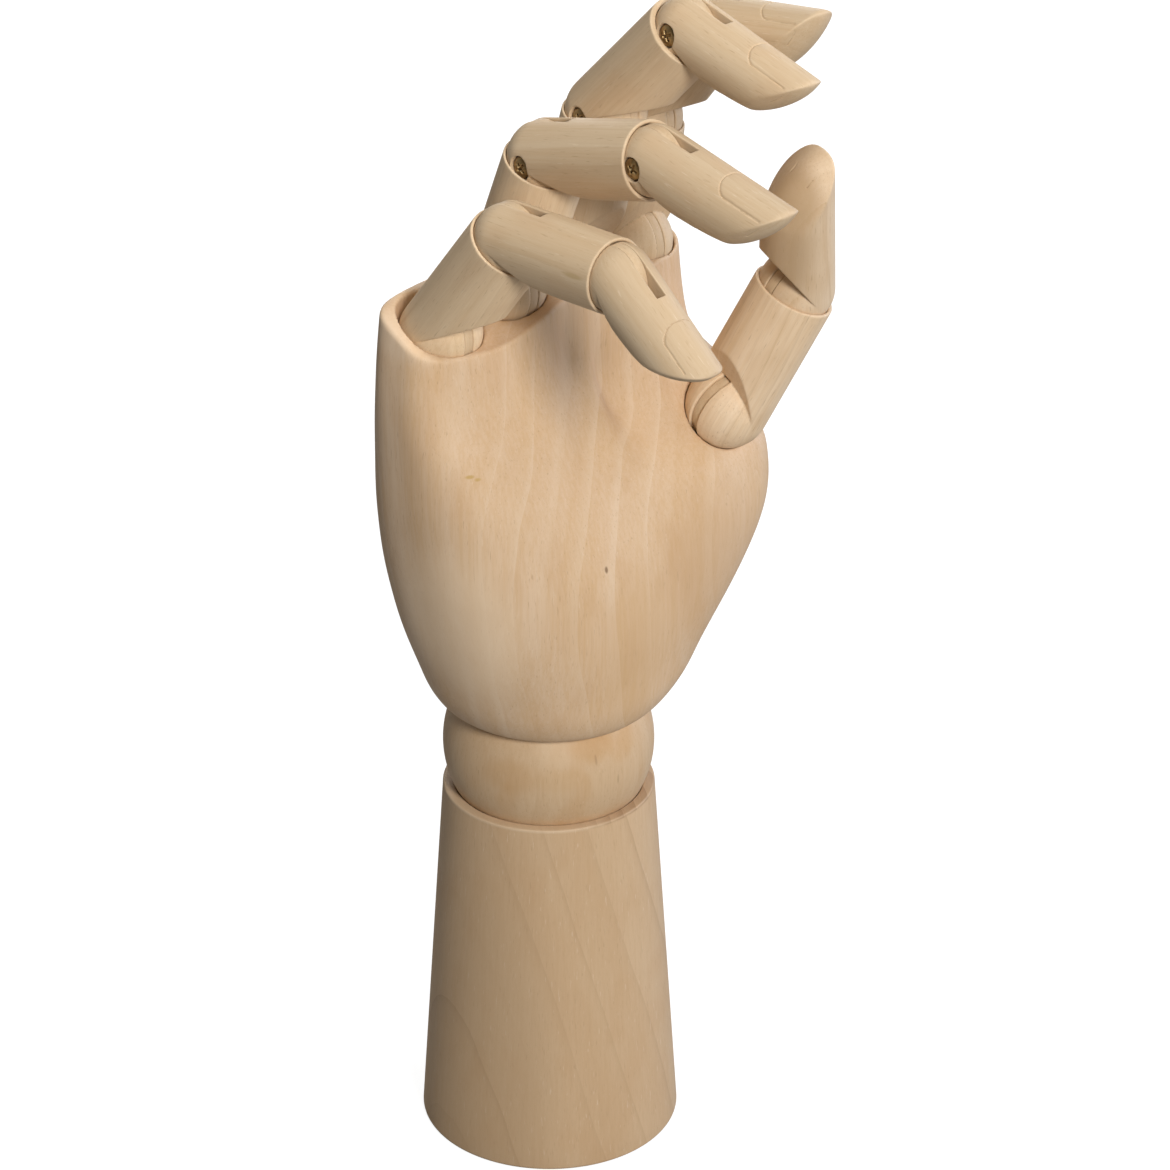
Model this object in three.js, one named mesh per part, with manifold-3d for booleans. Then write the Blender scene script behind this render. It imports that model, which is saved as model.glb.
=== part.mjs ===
// Jointed wooden display hand on a turned forearm.
// Millimetres, +Z up, origin at the centre of the underside.
// The palm faces -Y, the thumb is on +X, and the fingers stand as photographed.
import * as THREE from 'three';
import { mergeVertices, toCreasedNormals } from 'three/addons/utils/BufferGeometryUtils.js';
import Module from 'manifold-3d';

const wasm = await Module();
wasm.setup();

// Driving dimensions: forearm and wrist
const baseRadius = 31;
const forearmHeight = 91;
const baseEdgeRound = 0.8;
const rimEdgeRound = 1.6;
const wristRim = 2.55;
const ballRadius = 24.7;
const ballRise = 11;
const palmRise = 12;
const palmRim = 2;
const boreRadius = 6;
const counterboreRadius = 10;
const counterboreDepth = 14;

// Driving dimensions: spring and its anchors
const springWireRadius = 0.6;
const springTurns = 10;
const springClearance = 1.8;
const springLead = 9;
const anchorRodRadius = 1.5;
const eyeRingRadius = 2.6;
const eyeWireRadius = 0.9;
const eyeRise = 6;
const eyeHeadroom = 2;
const eyeShankLength = 12;

// Driving dimensions: fits
const jointGap = 0.3;
const seatGap = 0.3;
const cupSetback = 1;
const rimWall = 0.45;
const rootClearance = 0.5;
const fingerGap = 0.9;

// Driving dimensions: phalanges
const notchAngle = 28;
const slotReach = 10.4;
const slotSlope = 0.15;
const guardSkin = 0.06;
const bodyTaper = 0.99;
const rimEdge = 0.4;
const tipTaper = 0.9;
const tipBevel = 3.08;
const tipCurve = 1.4;
const tipEdge = 0.86;
const tipDome = 0.6;
const nailWidth = 0.66;
const nailCorner = 0.75;
const nailStart = 0.54;
const nailEnd = 3.5;
const nailLineWidth = 0.5;
const nailLineDepth = 0.45;

// Driving dimensions: tongues and screws
const tongueThickness = 2.2;
const tongueDepth = 8;
const tongueHalfHeight = 4.6;
const screwShankRadius = 1.2;
const screwHeadRadius = 2.45;
const screwHeadHeight = 1.5;
const screwRecess = 0.6;
const screwShare = 0.75;
const screwPoint = 1.2;
const screwDome = 0.5;

// Driving dimensions: palm, with heights from the centre of the wrist ball
const palmTop = 120.5;
const palmTopRound = 4;
const palmCrown = [0.7, 0.4];
const frontFall = 4.4;
const littleFall = 5;
const frontFallStart = 14;
const frontFallEnd = 9;
const littleFallStart = 2;
const littleFallEnd = 25;
const topFallStart = 68;
const socketFlare = 1.15;
const socketHeight = 30;
const rowMiddle = 0.1;
const rowBack = 3.1;

// What follows from them
const socketRadius = ballRadius + jointGap;
const wristRadius = Math.sqrt(socketRadius ** 2 - ballRise ** 2) + wristRim;
const palmFootRadius = Math.sqrt(socketRadius ** 2 - palmRise ** 2) + palmRim;
const ballZ = forearmHeight + ballRise;
const springCoilRadius = boreRadius - springClearance - springWireRadius;

// Palm sections: height above the ball centre, middle, reach to the little finger side, thumb side, front
// and back, then how square the front and the back are
const palmSections = [
  [palmRise, 0, palmFootRadius, palmFootRadius, palmFootRadius, palmFootRadius, 2, 2],
  [15.5, 0, 28, 29.2, 27.3, 25.8, 2.1, 2.1],
  [26, 0.2, 32.6, 34.6, 29.2, 26.4, 2.2, 2.3],
  [47, 0.7, 39.4, 40.8, 30, 25, 2.4, 2.7],
  [68, 1.4, 43.2, 43.6, 26.8, 22, 2.6, 3],
  [88, 2.4, 44.4, 43.4, 21, 18.4, 2.8, 3.1],
  [104, 3, 44.4, 42.2, 15.6, 15.1, 2.6, 3.4],
  [palmTop, 3.1, 43.6, 41.2, 12.8, 12.9, 2.4, 4],
];

// Swellings of the palm: direction, height, spread in degrees and mm below and above, amount
const palmSwellings = [
  { toward: -33, level: 70, spread: 22, below: 38, above: 15, amount: 14.6 },
  { toward: -100, level: 96, spread: 26, below: 26, above: 26, amount: -4 },
  { toward: -50, level: 90, spread: 22, below: 16, above: 18, amount: -8.5 },
  { toward: -6, level: 83, spread: 17, below: 14, above: 9, amount: 7.5 },
];

// Fingers: height of the root above the ball centre, splay, side of the screw heads,
// then bend, length and radius of each phalanx
const fingers = {
  little: {
    rise: 114, splay: 1.7, side: 1,
    bend: [37, 50.5, 39.1], length: [36.4, 32.5, 31], radius: [9.4, 8.55, 7.7],
  },
  ring: {
    rise: 119.3, splay: 0.5, side: -1,
    bend: [21, 53, 26.6], length: [36.7, 34.3, 38.7], radius: [9.65, 8.9, 7.95],
  },
  middle: {
    rise: 119.5, splay: 4.1, side: -1,
    bend: [13.4, 29.1, 60.6], length: [38.3, 34.5, 36.5], radius: [9.7, 9.2, 7.95],
  },
  index: {
    rise: 117, splay: 4.2, side: -1,
    bend: [2.3, 34.2, 43.2], length: [30.5, 32.3, 34], radius: [9.45, 9, 8],
  },
};

// Thumb: root place from the ball centre, direction of the first phalanx, hinge direction, then its socket
const thumb = {
  root: [34.8, -23.4, 82.6],
  along: [0.265, -0.354, 0.897],
  hinge: [-0.148, -0.934, -0.325],
  seatTilt: 48,
  side: -1,
  bend: [0, 33.1],
  length: [34.5, 40.4],
  radius: [9.95, 8.8],
};

// Facets
const turnSteps = 16;
const wristSteps = 30;
const headArcs = 4;
const cupArcs = 3;
const ballArcs = 10;
const palmSteps = 48;
const palmLevels = 14;
const palmRoundLevels = 3;
const tipSteps = 5;
const tongueArcs = 7;
const boreSteps = 8;
const screwSteps = 8;
const wireSides = 5;
const coilStepsPerTurn = 8;
const hookSteps = 10;

const wood = { color: 0xd9b68c, roughness: 0.62, metalness: 0 };
const paleWood = { color: 0xe0c09a, roughness: 0.62, metalness: 0 };
const bronze = { color: 0x6b5230, roughness: 0.38, metalness: 1 };
const steel = { color: 0xb9bcc0, roughness: 0.35, metalness: 1 };

const radians = THREE.MathUtils.degToRad;
const degrees = THREE.MathUtils.radToDeg;

// Turns a geometry into a solid for cutting and joining
function solidOf(geometry, matrix) {
  const bare = new THREE.BufferGeometry();
  bare.setAttribute('position', geometry.getAttribute('position').clone());
  if (geometry.index) bare.setIndex(geometry.index.clone());
  if (matrix) bare.applyMatrix4(matrix);
  const merged = mergeVertices(bare, 1e-4);
  const source = merged.index.array;
  const kept = [];
  for (let i = 0; i < source.length; i += 3) {
    const [a, b, c] = [source[i], source[i + 1], source[i + 2]];
    if (a !== b && b !== c && c !== a) kept.push(a, b, c);
  }
  const vertProperties = new Float32Array(merged.getAttribute('position').array);
  const make = (list) => new wasm.Manifold(
    new wasm.Mesh({ numProp: 3, vertProperties, triVerts: new Uint32Array(list) }));
  const solid = make(kept);
  if (solid.volume() > 0) return solid;
  const turned = [];
  for (let i = 0; i < kept.length; i += 3) turned.push(kept[i], kept[i + 2], kept[i + 1]);
  return make(turned);
}

// Turns a solid back into a named mesh
function meshOf(solid, name, look) {
  const mesh = solid.getMesh();
  const geometry = new THREE.BufferGeometry();
  const count = mesh.vertProperties.length / mesh.numProp;
  const position = new Float32Array(count * 3);
  for (let i = 0; i < count; i += 1) {
    for (let k = 0; k < 3; k += 1) position[i * 3 + k] = mesh.vertProperties[i * mesh.numProp + k];
  }
  geometry.setAttribute('position', new THREE.BufferAttribute(position, 3));
  geometry.setIndex(new THREE.BufferAttribute(new Uint32Array(mesh.triVerts), 1));
  const made = new THREE.Mesh(toCreasedNormals(geometry, radians(32)), new THREE.MeshStandardMaterial(look));
  made.name = name;
  return made;
}

// Body of revolution about Z from [radius, height] pairs
function turned(points, steps = turnSteps) {
  const profile = points.map(([r, z]) => new THREE.Vector2(Math.max(r, 0), z));
  return solidOf(new THREE.LatheGeometry(profile, steps), new THREE.Matrix4().makeRotationX(Math.PI / 2));
}

// Prism along X from a [y, z] outline
function slab(outline, width, centre = 0) {
  const shape = new THREE.Shape(outline.map(([y, z]) => new THREE.Vector2(y, z)));
  const geometry = new THREE.ExtrudeGeometry(shape, { depth: width, bevelEnabled: false, steps: 1 });
  const basis = new THREE.Matrix4().makeBasis(
    new THREE.Vector3(0, 1, 0), new THREE.Vector3(0, 0, 1), new THREE.Vector3(1, 0, 0));
  return solidOf(geometry, new THREE.Matrix4().makeTranslation(centre - width / 2, 0, 0).multiply(basis));
}

// Round bar along X from x0 to x1
function crossBar(radius, x0, x1, steps = boreSteps) {
  const bar = new THREE.CylinderGeometry(radius, radius, x1 - x0, steps);
  const place = new THREE.Matrix4().makeTranslation((x0 + x1) / 2, 0, 0);
  return solidOf(bar, place.multiply(new THREE.Matrix4().makeRotationZ(Math.PI / 2)));
}

// Points of an arc in the [radius, height] plane, angles in degrees from the axis of radius
function arc(radius, centreHeight, from, to, count) {
  const points = [];
  for (let i = 0; i <= count; i += 1) {
    const angle = radians(from + ((to - from) * i) / count);
    points.push([radius * Math.cos(angle), centreHeight + radius * Math.sin(angle)]);
  }
  return points;
}

// The same arc as flats that touch it from outside, so that a ball turns freely in the hollow
function hollowArc(radius, centreHeight, from, to, count) {
  const half = (to - from) / count / 2;
  const corners = arc(radius / Math.cos(radians(half)), centreHeight, from + half, to - half, count - 1);
  const [first, last] = arc(radius, centreHeight, from, to, 1);
  return [first, ...corners, last];
}

// Hollow that takes the next ball head and the flat tongue that holds it, pivot at the origin
function tongueSlot(headRadius) {
  const half = tongueHalfHeight + seatGap;
  const foot = -(headRadius + jointGap + tongueDepth + seatGap);
  return slab([[-half, foot], [half, foot], [half, 0], [-half, 0]], tongueThickness + 2 * seatGap);
}

// Flat tongue with a round end about the pivot, at the origin
function tongueSolid(headRadius) {
  const outer = headRadius - seatGap;
  const foot = -(headRadius + jointGap + tongueDepth);
  const shoulder = degrees(Math.acos(tongueHalfHeight / outer));
  const outline = [[-tongueHalfHeight, foot], [tongueHalfHeight, foot],
    ...arc(outer, 0, -shoulder, 180 + shoulder, tongueArcs)];
  const hole = crossBar(screwShankRadius + jointGap, -tongueThickness, tongueThickness, screwSteps);
  return slab(outline, tongueThickness).subtract(hole);
}

// What the head of a phalanx loses: tongue slot, front notch, screw hole and sink
function cutHead(body, radius, side) {
  const far = radius * 3;
  const lean = radians(notchAngle);
  const guard = turned(arc(radius + guardSkin, 0, -90, 90, 2 * headArcs));
  const wedge = slab([[0, 0], [-far * Math.sin(lean), far * Math.cos(lean)], [-far, far * Math.cos(lean)],
    [-far, -radius / 4], [0, -radius / 4]], far);
  const slotWidth = tongueThickness + 2 * seatGap;
  const reachAt = (y) => slotReach + slotSlope * (y - radius);
  const sweep = arc(radius / Math.cos(Math.PI / turnSteps), 0, 0, 360, turnSteps).slice(1);
  const slot = slab([[-far, -far], [far, -far], [far, reachAt(far)], [-far, reachAt(-far)]], slotWidth)
    .add(slab(sweep, slotWidth));
  const seat = radius - screwRecess - screwHeadHeight - seatGap;
  const across = (barRadius, from, to, steps) => crossBar(barRadius, Math.min(side * from, side * to),
    Math.max(side * from, side * to), steps);
  const hole = across(screwShankRadius + seatGap, -radius * screwShare - seatGap, radius, screwSteps);
  const sink = across(screwHeadRadius + seatGap, seat, far, screwSteps + 2);
  return body.subtract(wedge.subtract(guard)).subtract(slot).subtract(hole).subtract(sink);
}

// Turned phalanx with a ball head below and a cup above for the next head
function jointedPhalanx(radius, nextRadius, length, side) {
  const cup = nextRadius + jointGap;
  const end = length - cupSetback;
  const rim = Math.max(radius * bodyTaper, cup + rimWall);
  const lipAngle = degrees(Math.asin(cupSetback / cup));
  const profile = [...arc(radius, 0, -90, 0, headArcs), [rim, end - rimEdge], [rim - rimEdge / 3, end],
    ...hollowArc(cup, length, -lipAngle, -90, cupArcs)];
  return cutHead(turned(profile), radius, side).subtract(tongueSlot(nextRadius).translate([0, 0, length]));
}

// Block that leaves the finger pad standing: below it is cut away in a dome that climbs to the tip
function padBlock(radius, tipRadius, length) {
  const wide = radius * 1.5;
  const start = length - tipBevel * radius;
  const across = [-1, -0.6, 0, 0.6, 1];
  const position = [];
  const addRing = (z, floor, half) => {
    position.push(-wide, wide, z, -wide, floor, z);
    across.forEach((share) => position.push(share * half, floor - tipDome * half * (1 - share ** 2), z));
    position.push(wide, floor, z, wide, wide, z);
  };
  addRing(-wide, -radius * 1.05, radius / 4);
  for (let i = 0; i <= tipSteps; i += 1) {
    const t = i / tipSteps;
    const z = start + (length - start) * t;
    const floor = -radius + radius * (1 + tipEdge) * t ** tipCurve;
    const here = radius + ((tipRadius - radius) * z) / length;
    addRing(z, floor, Math.sqrt(Math.max(here ** 2 - floor ** 2, 0.1)));
  }
  const count = across.length + 4;
  const rings = position.length / 3 / count;
  const index = [];
  for (let j = 0; j + 1 < rings; j += 1) {
    for (let k = 0; k < count; k += 1) {
      const [a, b] = [j * count + k, j * count + ((k + 1) % count)];
      index.push(a, b, b + count, a, b + count, a + count);
    }
  }
  const outline = (ring) => Array.from({ length: count }, (_, k) => new THREE.Vector2(
    position[(ring * count + k) * 3], position[(ring * count + k) * 3 + 1]));
  THREE.ShapeUtils.triangulateShape(outline(0), []).forEach(([a, b, c]) => index.push(a, c, b));
  const top = (rings - 1) * count;
  THREE.ShapeUtils.triangulateShape(outline(rings - 1), [])
    .forEach(([a, b, c]) => index.push(top + a, top + b, top + c));
  const geometry = new THREE.BufferGeometry();
  geometry.setAttribute('position', new THREE.Float32BufferAttribute(position, 3));
  geometry.setIndex(index);
  return solidOf(geometry);
}

// Last phalanx with a straight back, a domed finger pad and an incised nail line
function lastPhalanx(radius, length, side) {
  const tipRadius = radius * tipTaper;
  const profile = [...arc(radius, 0, -90, 0, headArcs), [tipRadius, length], [0, length]];
  const formed = turned(profile).intersect(padBlock(radius, tipRadius, length));
  return cutHead(formed, radius, side).subtract(nailLine(radius, tipRadius, length));
}

// Thin groove round the nail, open towards the tip
function nailLine(radius, tipRadius, length) {
  const half = radius * nailWidth;
  const corner = half * nailCorner;
  const back = length * nailStart;
  const front = length - nailEnd;
  const shape = new THREE.Shape();
  shape.moveTo(half, front);
  shape.lineTo(half, back + corner);
  shape.absarc(half - corner, back + corner, corner, 0, -Math.PI / 2, true);
  shape.absarc(corner - half, back + corner, corner, -Math.PI / 2, -Math.PI, true);
  shape.lineTo(-half, front);
  const inner = corner - nailLineWidth;
  shape.lineTo(nailLineWidth - half, front);
  shape.absarc(corner - half, back + corner, inner, -Math.PI, -Math.PI / 2, false);
  shape.absarc(half - corner, back + corner, inner, -Math.PI / 2, 0, false);
  shape.lineTo(half - nailLineWidth, front);
  const depth = radius * 1.4;
  const settings = { depth, bevelEnabled: false, steps: 1, curveSegments: 2 };
  const geometry = new THREE.ExtrudeGeometry(shape, settings);
  const basis = new THREE.Matrix4().makeBasis(
    new THREE.Vector3(1, 0, 0), new THREE.Vector3(0, 0, 1), new THREE.Vector3(0, -1, 0));
  const wall = solidOf(geometry, new THREE.Matrix4().makeTranslation(0, depth, 0).multiply(basis));
  const core = turned([[0, -1], [radius - nailLineDepth, -1], [tipRadius - nailLineDepth, length + 1],
    [0, length + 1]]);
  return wall.subtract(core);
}

// Screw along X that clamps a head about its tongue
function screwSolid(radius, side) {
  const top = radius - screwRecess;
  const shoulder = top - screwHeadHeight;
  const end = -radius * screwShare;
  const profile = [[0, end], [screwShankRadius, end + screwPoint], [screwShankRadius, shoulder],
    [screwHeadRadius, shoulder], [screwHeadRadius, top - screwDome], [0, top]];
  return turned(profile, screwSteps).rotate([0, 90 * side, 0]);
}

// Value from the palm section table at a height
function sectionAt(height) {
  const last = palmSections.length - 1;
  let k = 0;
  while (k < last - 1 && height > palmSections[k + 1][0]) k += 1;
  const [before, here, next, after] = [Math.max(k - 1, 0), k, k + 1, Math.min(k + 2, last)]
    .map((i) => palmSections[i]);
  const span = next[0] - here[0];
  const t = THREE.MathUtils.clamp((height - here[0]) / span, 0, 1);
  return here.map((value, i) => {
    const slopeHere = (next[i] - before[i]) / (next[0] - before[0]);
    const slopeNext = (after[i] - here[i]) / (after[0] - here[0]);
    const a = 2 * t ** 3 - 3 * t ** 2 + 1;
    const b = t ** 3 - 2 * t ** 2 + t;
    const c = -2 * t ** 3 + 3 * t ** 2;
    const d = t ** 3 - t ** 2;
    return a * value + b * span * slopeHere + c * next[i] + d * span * slopeNext;
  });
}

// How far the top of the palm falls away towards the front and the little finger
function topFall(x, y, height) {
  const forward = THREE.MathUtils.smoothstep(-y, -frontFallStart, frontFallEnd);
  const little = THREE.MathUtils.smoothstep(-x, littleFallStart, littleFallEnd);
  const upper = THREE.MathUtils.smoothstep(height, topFallStart, palmTop);
  return forward * upper * (frontFall + littleFall * little);
}

// Heights of the rings of the palm, closer together near the wrist and over the round top edge
function palmHeights() {
  const shoulder = palmTop - palmTopRound;
  const heights = [];
  for (let i = 0; i <= palmLevels; i += 1) {
    heights.push(palmRise + (shoulder - palmRise) * (i / palmLevels) ** 1.25);
  }
  for (let i = 1; i <= palmRoundLevels; i += 1) {
    heights.push(shoulder + palmTopRound * Math.sin((Math.PI * i) / 2 / palmRoundLevels));
  }
  return heights;
}

// Reach of the palm from its axis at a height, towards an angle
function palmReach(section, height, angle) {
  const [, , left, right, front, back, squareFront, squareBack] = section;
  const [c, s] = [Math.cos(angle), Math.sin(angle)];
  const square = s > 0 ? squareBack : squareFront;
  const wide = Math.abs(c) / (c > 0 ? right : left);
  const deep = Math.abs(s) / (s > 0 ? back : front);
  let reach = (wide ** square + deep ** square) ** (-1 / square);
  palmSwellings.forEach(({ toward, level, spread, below, above, amount }) => {
    const turn = THREE.MathUtils.euclideanModulo(degrees(angle) - toward + 180, 360) - 180;
    const tall = height < level ? below : above;
    reach += amount * Math.exp(-((turn / spread) ** 2) - ((height - level) / tall) ** 2);
  });
  const over = Math.max(0, height - (palmTop - palmTopRound));
  return reach - (palmTopRound - Math.sqrt(Math.max(0, palmTopRound ** 2 - over ** 2)));
}

// Carved palm block before its sockets are cut, a loft of closed rings with two more over its top
function palmBlock() {
  const heights = palmHeights();
  const position = [];
  const rings = heights.map((height) => [height, 1]).concat(palmCrown.map((share) => [palmTop, share]));
  rings.forEach(([height, share]) => {
    const section = sectionAt(height);
    for (let k = 0; k < palmSteps; k += 1) {
      const angle = (2 * Math.PI * k) / palmSteps;
      const reach = share * palmReach(section, height, angle);
      const x = reach * Math.cos(angle);
      const y = section[1] + reach * Math.sin(angle);
      position.push(x, y, height - topFall(x, y, height));
    }
  });
  const index = [];
  for (let j = 0; j + 1 < rings.length; j += 1) {
    for (let k = 0; k < palmSteps; k += 1) {
      const [a, b] = [j * palmSteps + k, j * palmSteps + ((k + 1) % palmSteps)];
      index.push(a, b, b + palmSteps, a, b + palmSteps, a + palmSteps);
    }
  }
  const low = position.length / 3;
  const rim = (rings.length - 1) * palmSteps;
  position.push(0, 0, palmRise, 0, rowBack, palmTop - topFall(0, rowBack, palmTop));
  for (let k = 0; k < palmSteps; k += 1) {
    const next = (k + 1) % palmSteps;
    index.push(low, next, k, low + 1, rim + k, rim + next);
  }
  const geometry = new THREE.BufferGeometry();
  geometry.setAttribute('position', new THREE.Float32BufferAttribute(position, 3));
  geometry.setIndex(index);
  return solidOf(geometry);
}

// Solid moved by a matrix
function moved(solid, matrix) {
  return solid.transform(matrix.elements);
}

// Places of the finger roots along the row, side by side with an even gap
function rowPlaces() {
  const step = (a, b) => fingers[a].radius[0] + fingers[b].radius[0] + fingerGap;
  const ring = rowMiddle - step('ring', 'middle') / 2;
  const middle = rowMiddle + step('ring', 'middle') / 2;
  return { little: ring - step('little', 'ring'), ring, middle, index: middle + step('middle', 'index') };
}

// Frame of a finger root before it bends
function rootFrame(name) {
  const { rise, splay } = fingers[name];
  return new THREE.Matrix4().makeTranslation(rowPlaces()[name], rowBack, rise)
    .multiply(new THREE.Matrix4().makeRotationY(radians(splay)));
}

// Frame of the thumb root, first phalanx along local Z and its hinge along local X
function thumbFrame() {
  const along = new THREE.Vector3(...thumb.along).normalize();
  const hinge = new THREE.Vector3(...thumb.hinge);
  hinge.addScaledVector(along, -hinge.dot(along)).normalize();
  const backward = new THREE.Vector3().crossVectors(along, hinge);
  return new THREE.Matrix4().makeBasis(hinge, backward, along).setPosition(...thumb.root);
}

// Socket cut for one root: shelf, ball hollow, tongue slot turned to its seat
function socket(headRadius, seat) {
  const hollow = headRadius + jointGap;
  const shelfRadius = headRadius + rootClearance;
  const lipAngle = degrees(Math.asin(cupSetback / hollow));
  const profile = [...hollowArc(hollow, 0, -90, -lipAngle, cupArcs), [shelfRadius, -cupSetback],
    [shelfRadius * socketFlare, socketHeight], [0, socketHeight]];
  return turned(profile).add(moved(tongueSlot(headRadius), seat));
}

// Turned forearm with the wrist socket, spring bore and counterbore
function forearmSolid() {
  const lipAngle = degrees(Math.asin(ballRise / socketRadius));
  const boreAngle = degrees(Math.acos(boreRadius / socketRadius));
  const slant = (baseRadius - wristRadius) / forearmHeight;
  return turned([
    [counterboreRadius, 0],
    [baseRadius - baseEdgeRound, 0],
    [baseRadius - baseEdgeRound * 0.3, baseEdgeRound * 0.3],
    [baseRadius - slant * baseEdgeRound, baseEdgeRound],
    [wristRadius + slant * rimEdgeRound, forearmHeight - rimEdgeRound],
    [wristRadius - rimEdgeRound * 0.3, forearmHeight - rimEdgeRound * 0.3],
    [wristRadius - rimEdgeRound, forearmHeight],
    ...hollowArc(socketRadius, ballZ, -lipAngle, -boreAngle, cupArcs + 1),
    [boreRadius, counterboreDepth],
    [counterboreRadius, counterboreDepth],
    [counterboreRadius, 0],
  ], wristSteps);
}

// Wrist ball with the bore for the spring, centre at the origin
function wristBallSolid() {
  const boreAngle = degrees(Math.acos(boreRadius / ballRadius));
  const outside = arc(ballRadius, 0, -boreAngle, boreAngle, ballArcs);
  return turned([...outside, outside[0]], wristSteps);
}

// Heights of the rod under the spring and of the eye above it, from the underside
const rodZ = counterboreDepth - seatGap - anchorRodRadius;
const eyeZ = ballZ + ballRadius + eyeRise;

// Route of the spring wire: round the rod, in a coil up through the ball, round the eye
function springRoute() {
  const route = [];
  const hook = (centre, radius, from, to) => {
    for (let i = 0; i <= hookSteps; i += 1) {
      const angle = radians(from + ((to - from) * i) / hookSteps);
      route.push(new THREE.Vector3(0, radius * Math.cos(angle), centre + radius * Math.sin(angle)));
    }
  };
  const lowHook = anchorRodRadius + springWireRadius + seatGap;
  const highHook = eyeWireRadius + springWireRadius + seatGap;
  const eyeFoot = eyeZ - eyeRingRadius;
  const coilFoot = rodZ + springLead;
  const coilHead = eyeFoot - springLead;
  hook(rodZ, lowHook, 150, 405);
  route.push(new THREE.Vector3(0, lowHook * 0.3, rodZ + lowHook * 1.5));
  route.push(new THREE.Vector3(0, 0, rodZ + lowHook * 2.4));
  const coilSteps = springTurns * coilStepsPerTurn;
  for (let i = 0; i <= coilSteps; i += 1) {
    const t = i / coilSteps;
    const swell = springCoilRadius * Math.min(1, i / 7, (coilSteps - i) / 7);
    const angle = 2 * Math.PI * springTurns * t;
    route.push(new THREE.Vector3(swell * Math.cos(angle), swell * Math.sin(angle),
      coilFoot + (coilHead - coilFoot) * t));
  }
  route.push(new THREE.Vector3(0, 0, eyeFoot - highHook * 2.6));
  route.push(new THREE.Vector3(0, -highHook * 0.3, eyeFoot - highHook * 1.6));
  hook(eyeFoot, highHook, -45, 210);
  return new THREE.CatmullRomCurve3(route, false, 'centripetal');
}

// Tension spring that pulls the hand and the ball down on the forearm
function springSolid() {
  const wire = new THREE.Shape();
  for (let i = 0; i < wireSides; i += 1) {
    const angle = (2 * Math.PI * i) / wireSides;
    const point = [springWireRadius * Math.cos(angle), springWireRadius * Math.sin(angle)];
    if (i === 0) wire.moveTo(...point);
    else wire.lineTo(...point);
  }
  wire.closePath();
  const steps = springTurns * coilStepsPerTurn + 2 * hookSteps + 8;
  return solidOf(new THREE.ExtrudeGeometry(wire, { steps, bevelEnabled: false, extrudePath: springRoute() }));
}

// Rod across the counterbore that anchors the foot of the spring
function anchorRodSolid() {
  const reach = Math.sqrt(counterboreRadius ** 2 - anchorRodRadius ** 2) - 2 * seatGap;
  return crossBar(anchorRodRadius, -reach, reach).translate([0, 0, rodZ]);
}

// Palm with its wrist socket, spring bore, eye hole and the roots of the five fingers
const eyeRiseInPalm = eyeZ - ballZ;
const palmBoreTop = eyeRiseInPalm + eyeRingRadius + eyeWireRadius + eyeHeadroom;
const fingerFrames = Object.fromEntries(Object.keys(fingers).map((name) => [name, rootFrame(name)]));
const thumbPlace = thumbFrame();
const fingerSeat = new THREE.Matrix4();
const thumbSeat = new THREE.Matrix4().makeRotationX(radians(thumb.seatTilt));

function palmSolid() {
  const wristSocket = turned(hollowArc(socketRadius, 0, -90, 90, ballArcs), wristSteps);
  const eyeHoleRadius = eyeWireRadius + seatGap;
  const eyeHoleTop = palmBoreTop + eyeShankLength;
  const bore = turned([[0, 0], [boreRadius, 0], [boreRadius, palmBoreTop], [eyeHoleRadius, palmBoreTop],
    [eyeHoleRadius, eyeHoleTop], [0, eyeHoleTop]], boreSteps + 4);
  let palm = palmBlock().subtract(wristSocket).subtract(bore);
  Object.entries(fingerFrames).forEach(([name, frame]) => {
    palm = palm.subtract(moved(socket(fingers[name].radius[0], fingerSeat), frame));
  });
  return palm.subtract(moved(socket(thumb.radius[0], thumbSeat), thumbPlace));
}

// Screw eye in the palm that holds the top of the spring
function springEyeSolid() {
  const upright = new THREE.Matrix4().makeRotationX(Math.PI / 2);
  const ring = solidOf(new THREE.TorusGeometry(eyeRingRadius, eyeWireRadius, 6, 16), upright);
  const shankTop = palmBoreTop + eyeShankLength - eyeRiseInPalm - seatGap;
  const shank = turned([[0, eyeRingRadius], [eyeWireRadius, eyeRingRadius],
    [eyeWireRadius, shankTop - screwPoint], [0, shankTop]], boreSteps);
  return ring.add(shank).translate([0, 0, eyeRiseInPalm]);
}

// One chain of phalanges with their tongues and screws
function addChain(holder, name, frame, joints) {
  let parent = holder;
  let place = frame;
  joints.forEach((joint, i) => {
    const hinge = new THREE.Group();
    hinge.name = `${name}_${joint.label}_hinge`;
    hinge.applyMatrix4(place);
    parent.add(hinge);
    const tongue = moved(tongueSolid(joint.radius), joint.seat);
    hinge.add(meshOf(tongue, `${name}_${joint.label}_tongue`, paleWood));
    const bent = new THREE.Group();
    bent.name = `${name}_${joint.label}`;
    bent.rotation.x = radians(joint.bend);
    hinge.add(bent);
    const next = joints[i + 1];
    const body = next ? jointedPhalanx(joint.radius, next.radius, joint.length, joint.side)
      : lastPhalanx(joint.radius, joint.length, joint.side);
    bent.add(meshOf(body, `${name}_${joint.phalanx}`, wood));
    bent.add(meshOf(screwSolid(joint.radius, joint.side), `${name}_${joint.label}_screw`, bronze));
    parent = bent;
    place = new THREE.Matrix4().makeTranslation(0, 0, joint.length);
  });
}

// Joints of one finger or of the thumb, from the root out
function chainOf(at, labels, phalanges, rootSeat) {
  return labels.map((label, i) => ({
    label,
    phalanx: phalanges[i],
    radius: at.radius[i],
    bend: at.bend[i],
    length: at.length[i],
    side: at.side,
    seat: i === 0 ? rootSeat : new THREE.Matrix4(),
  }));
}

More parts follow.
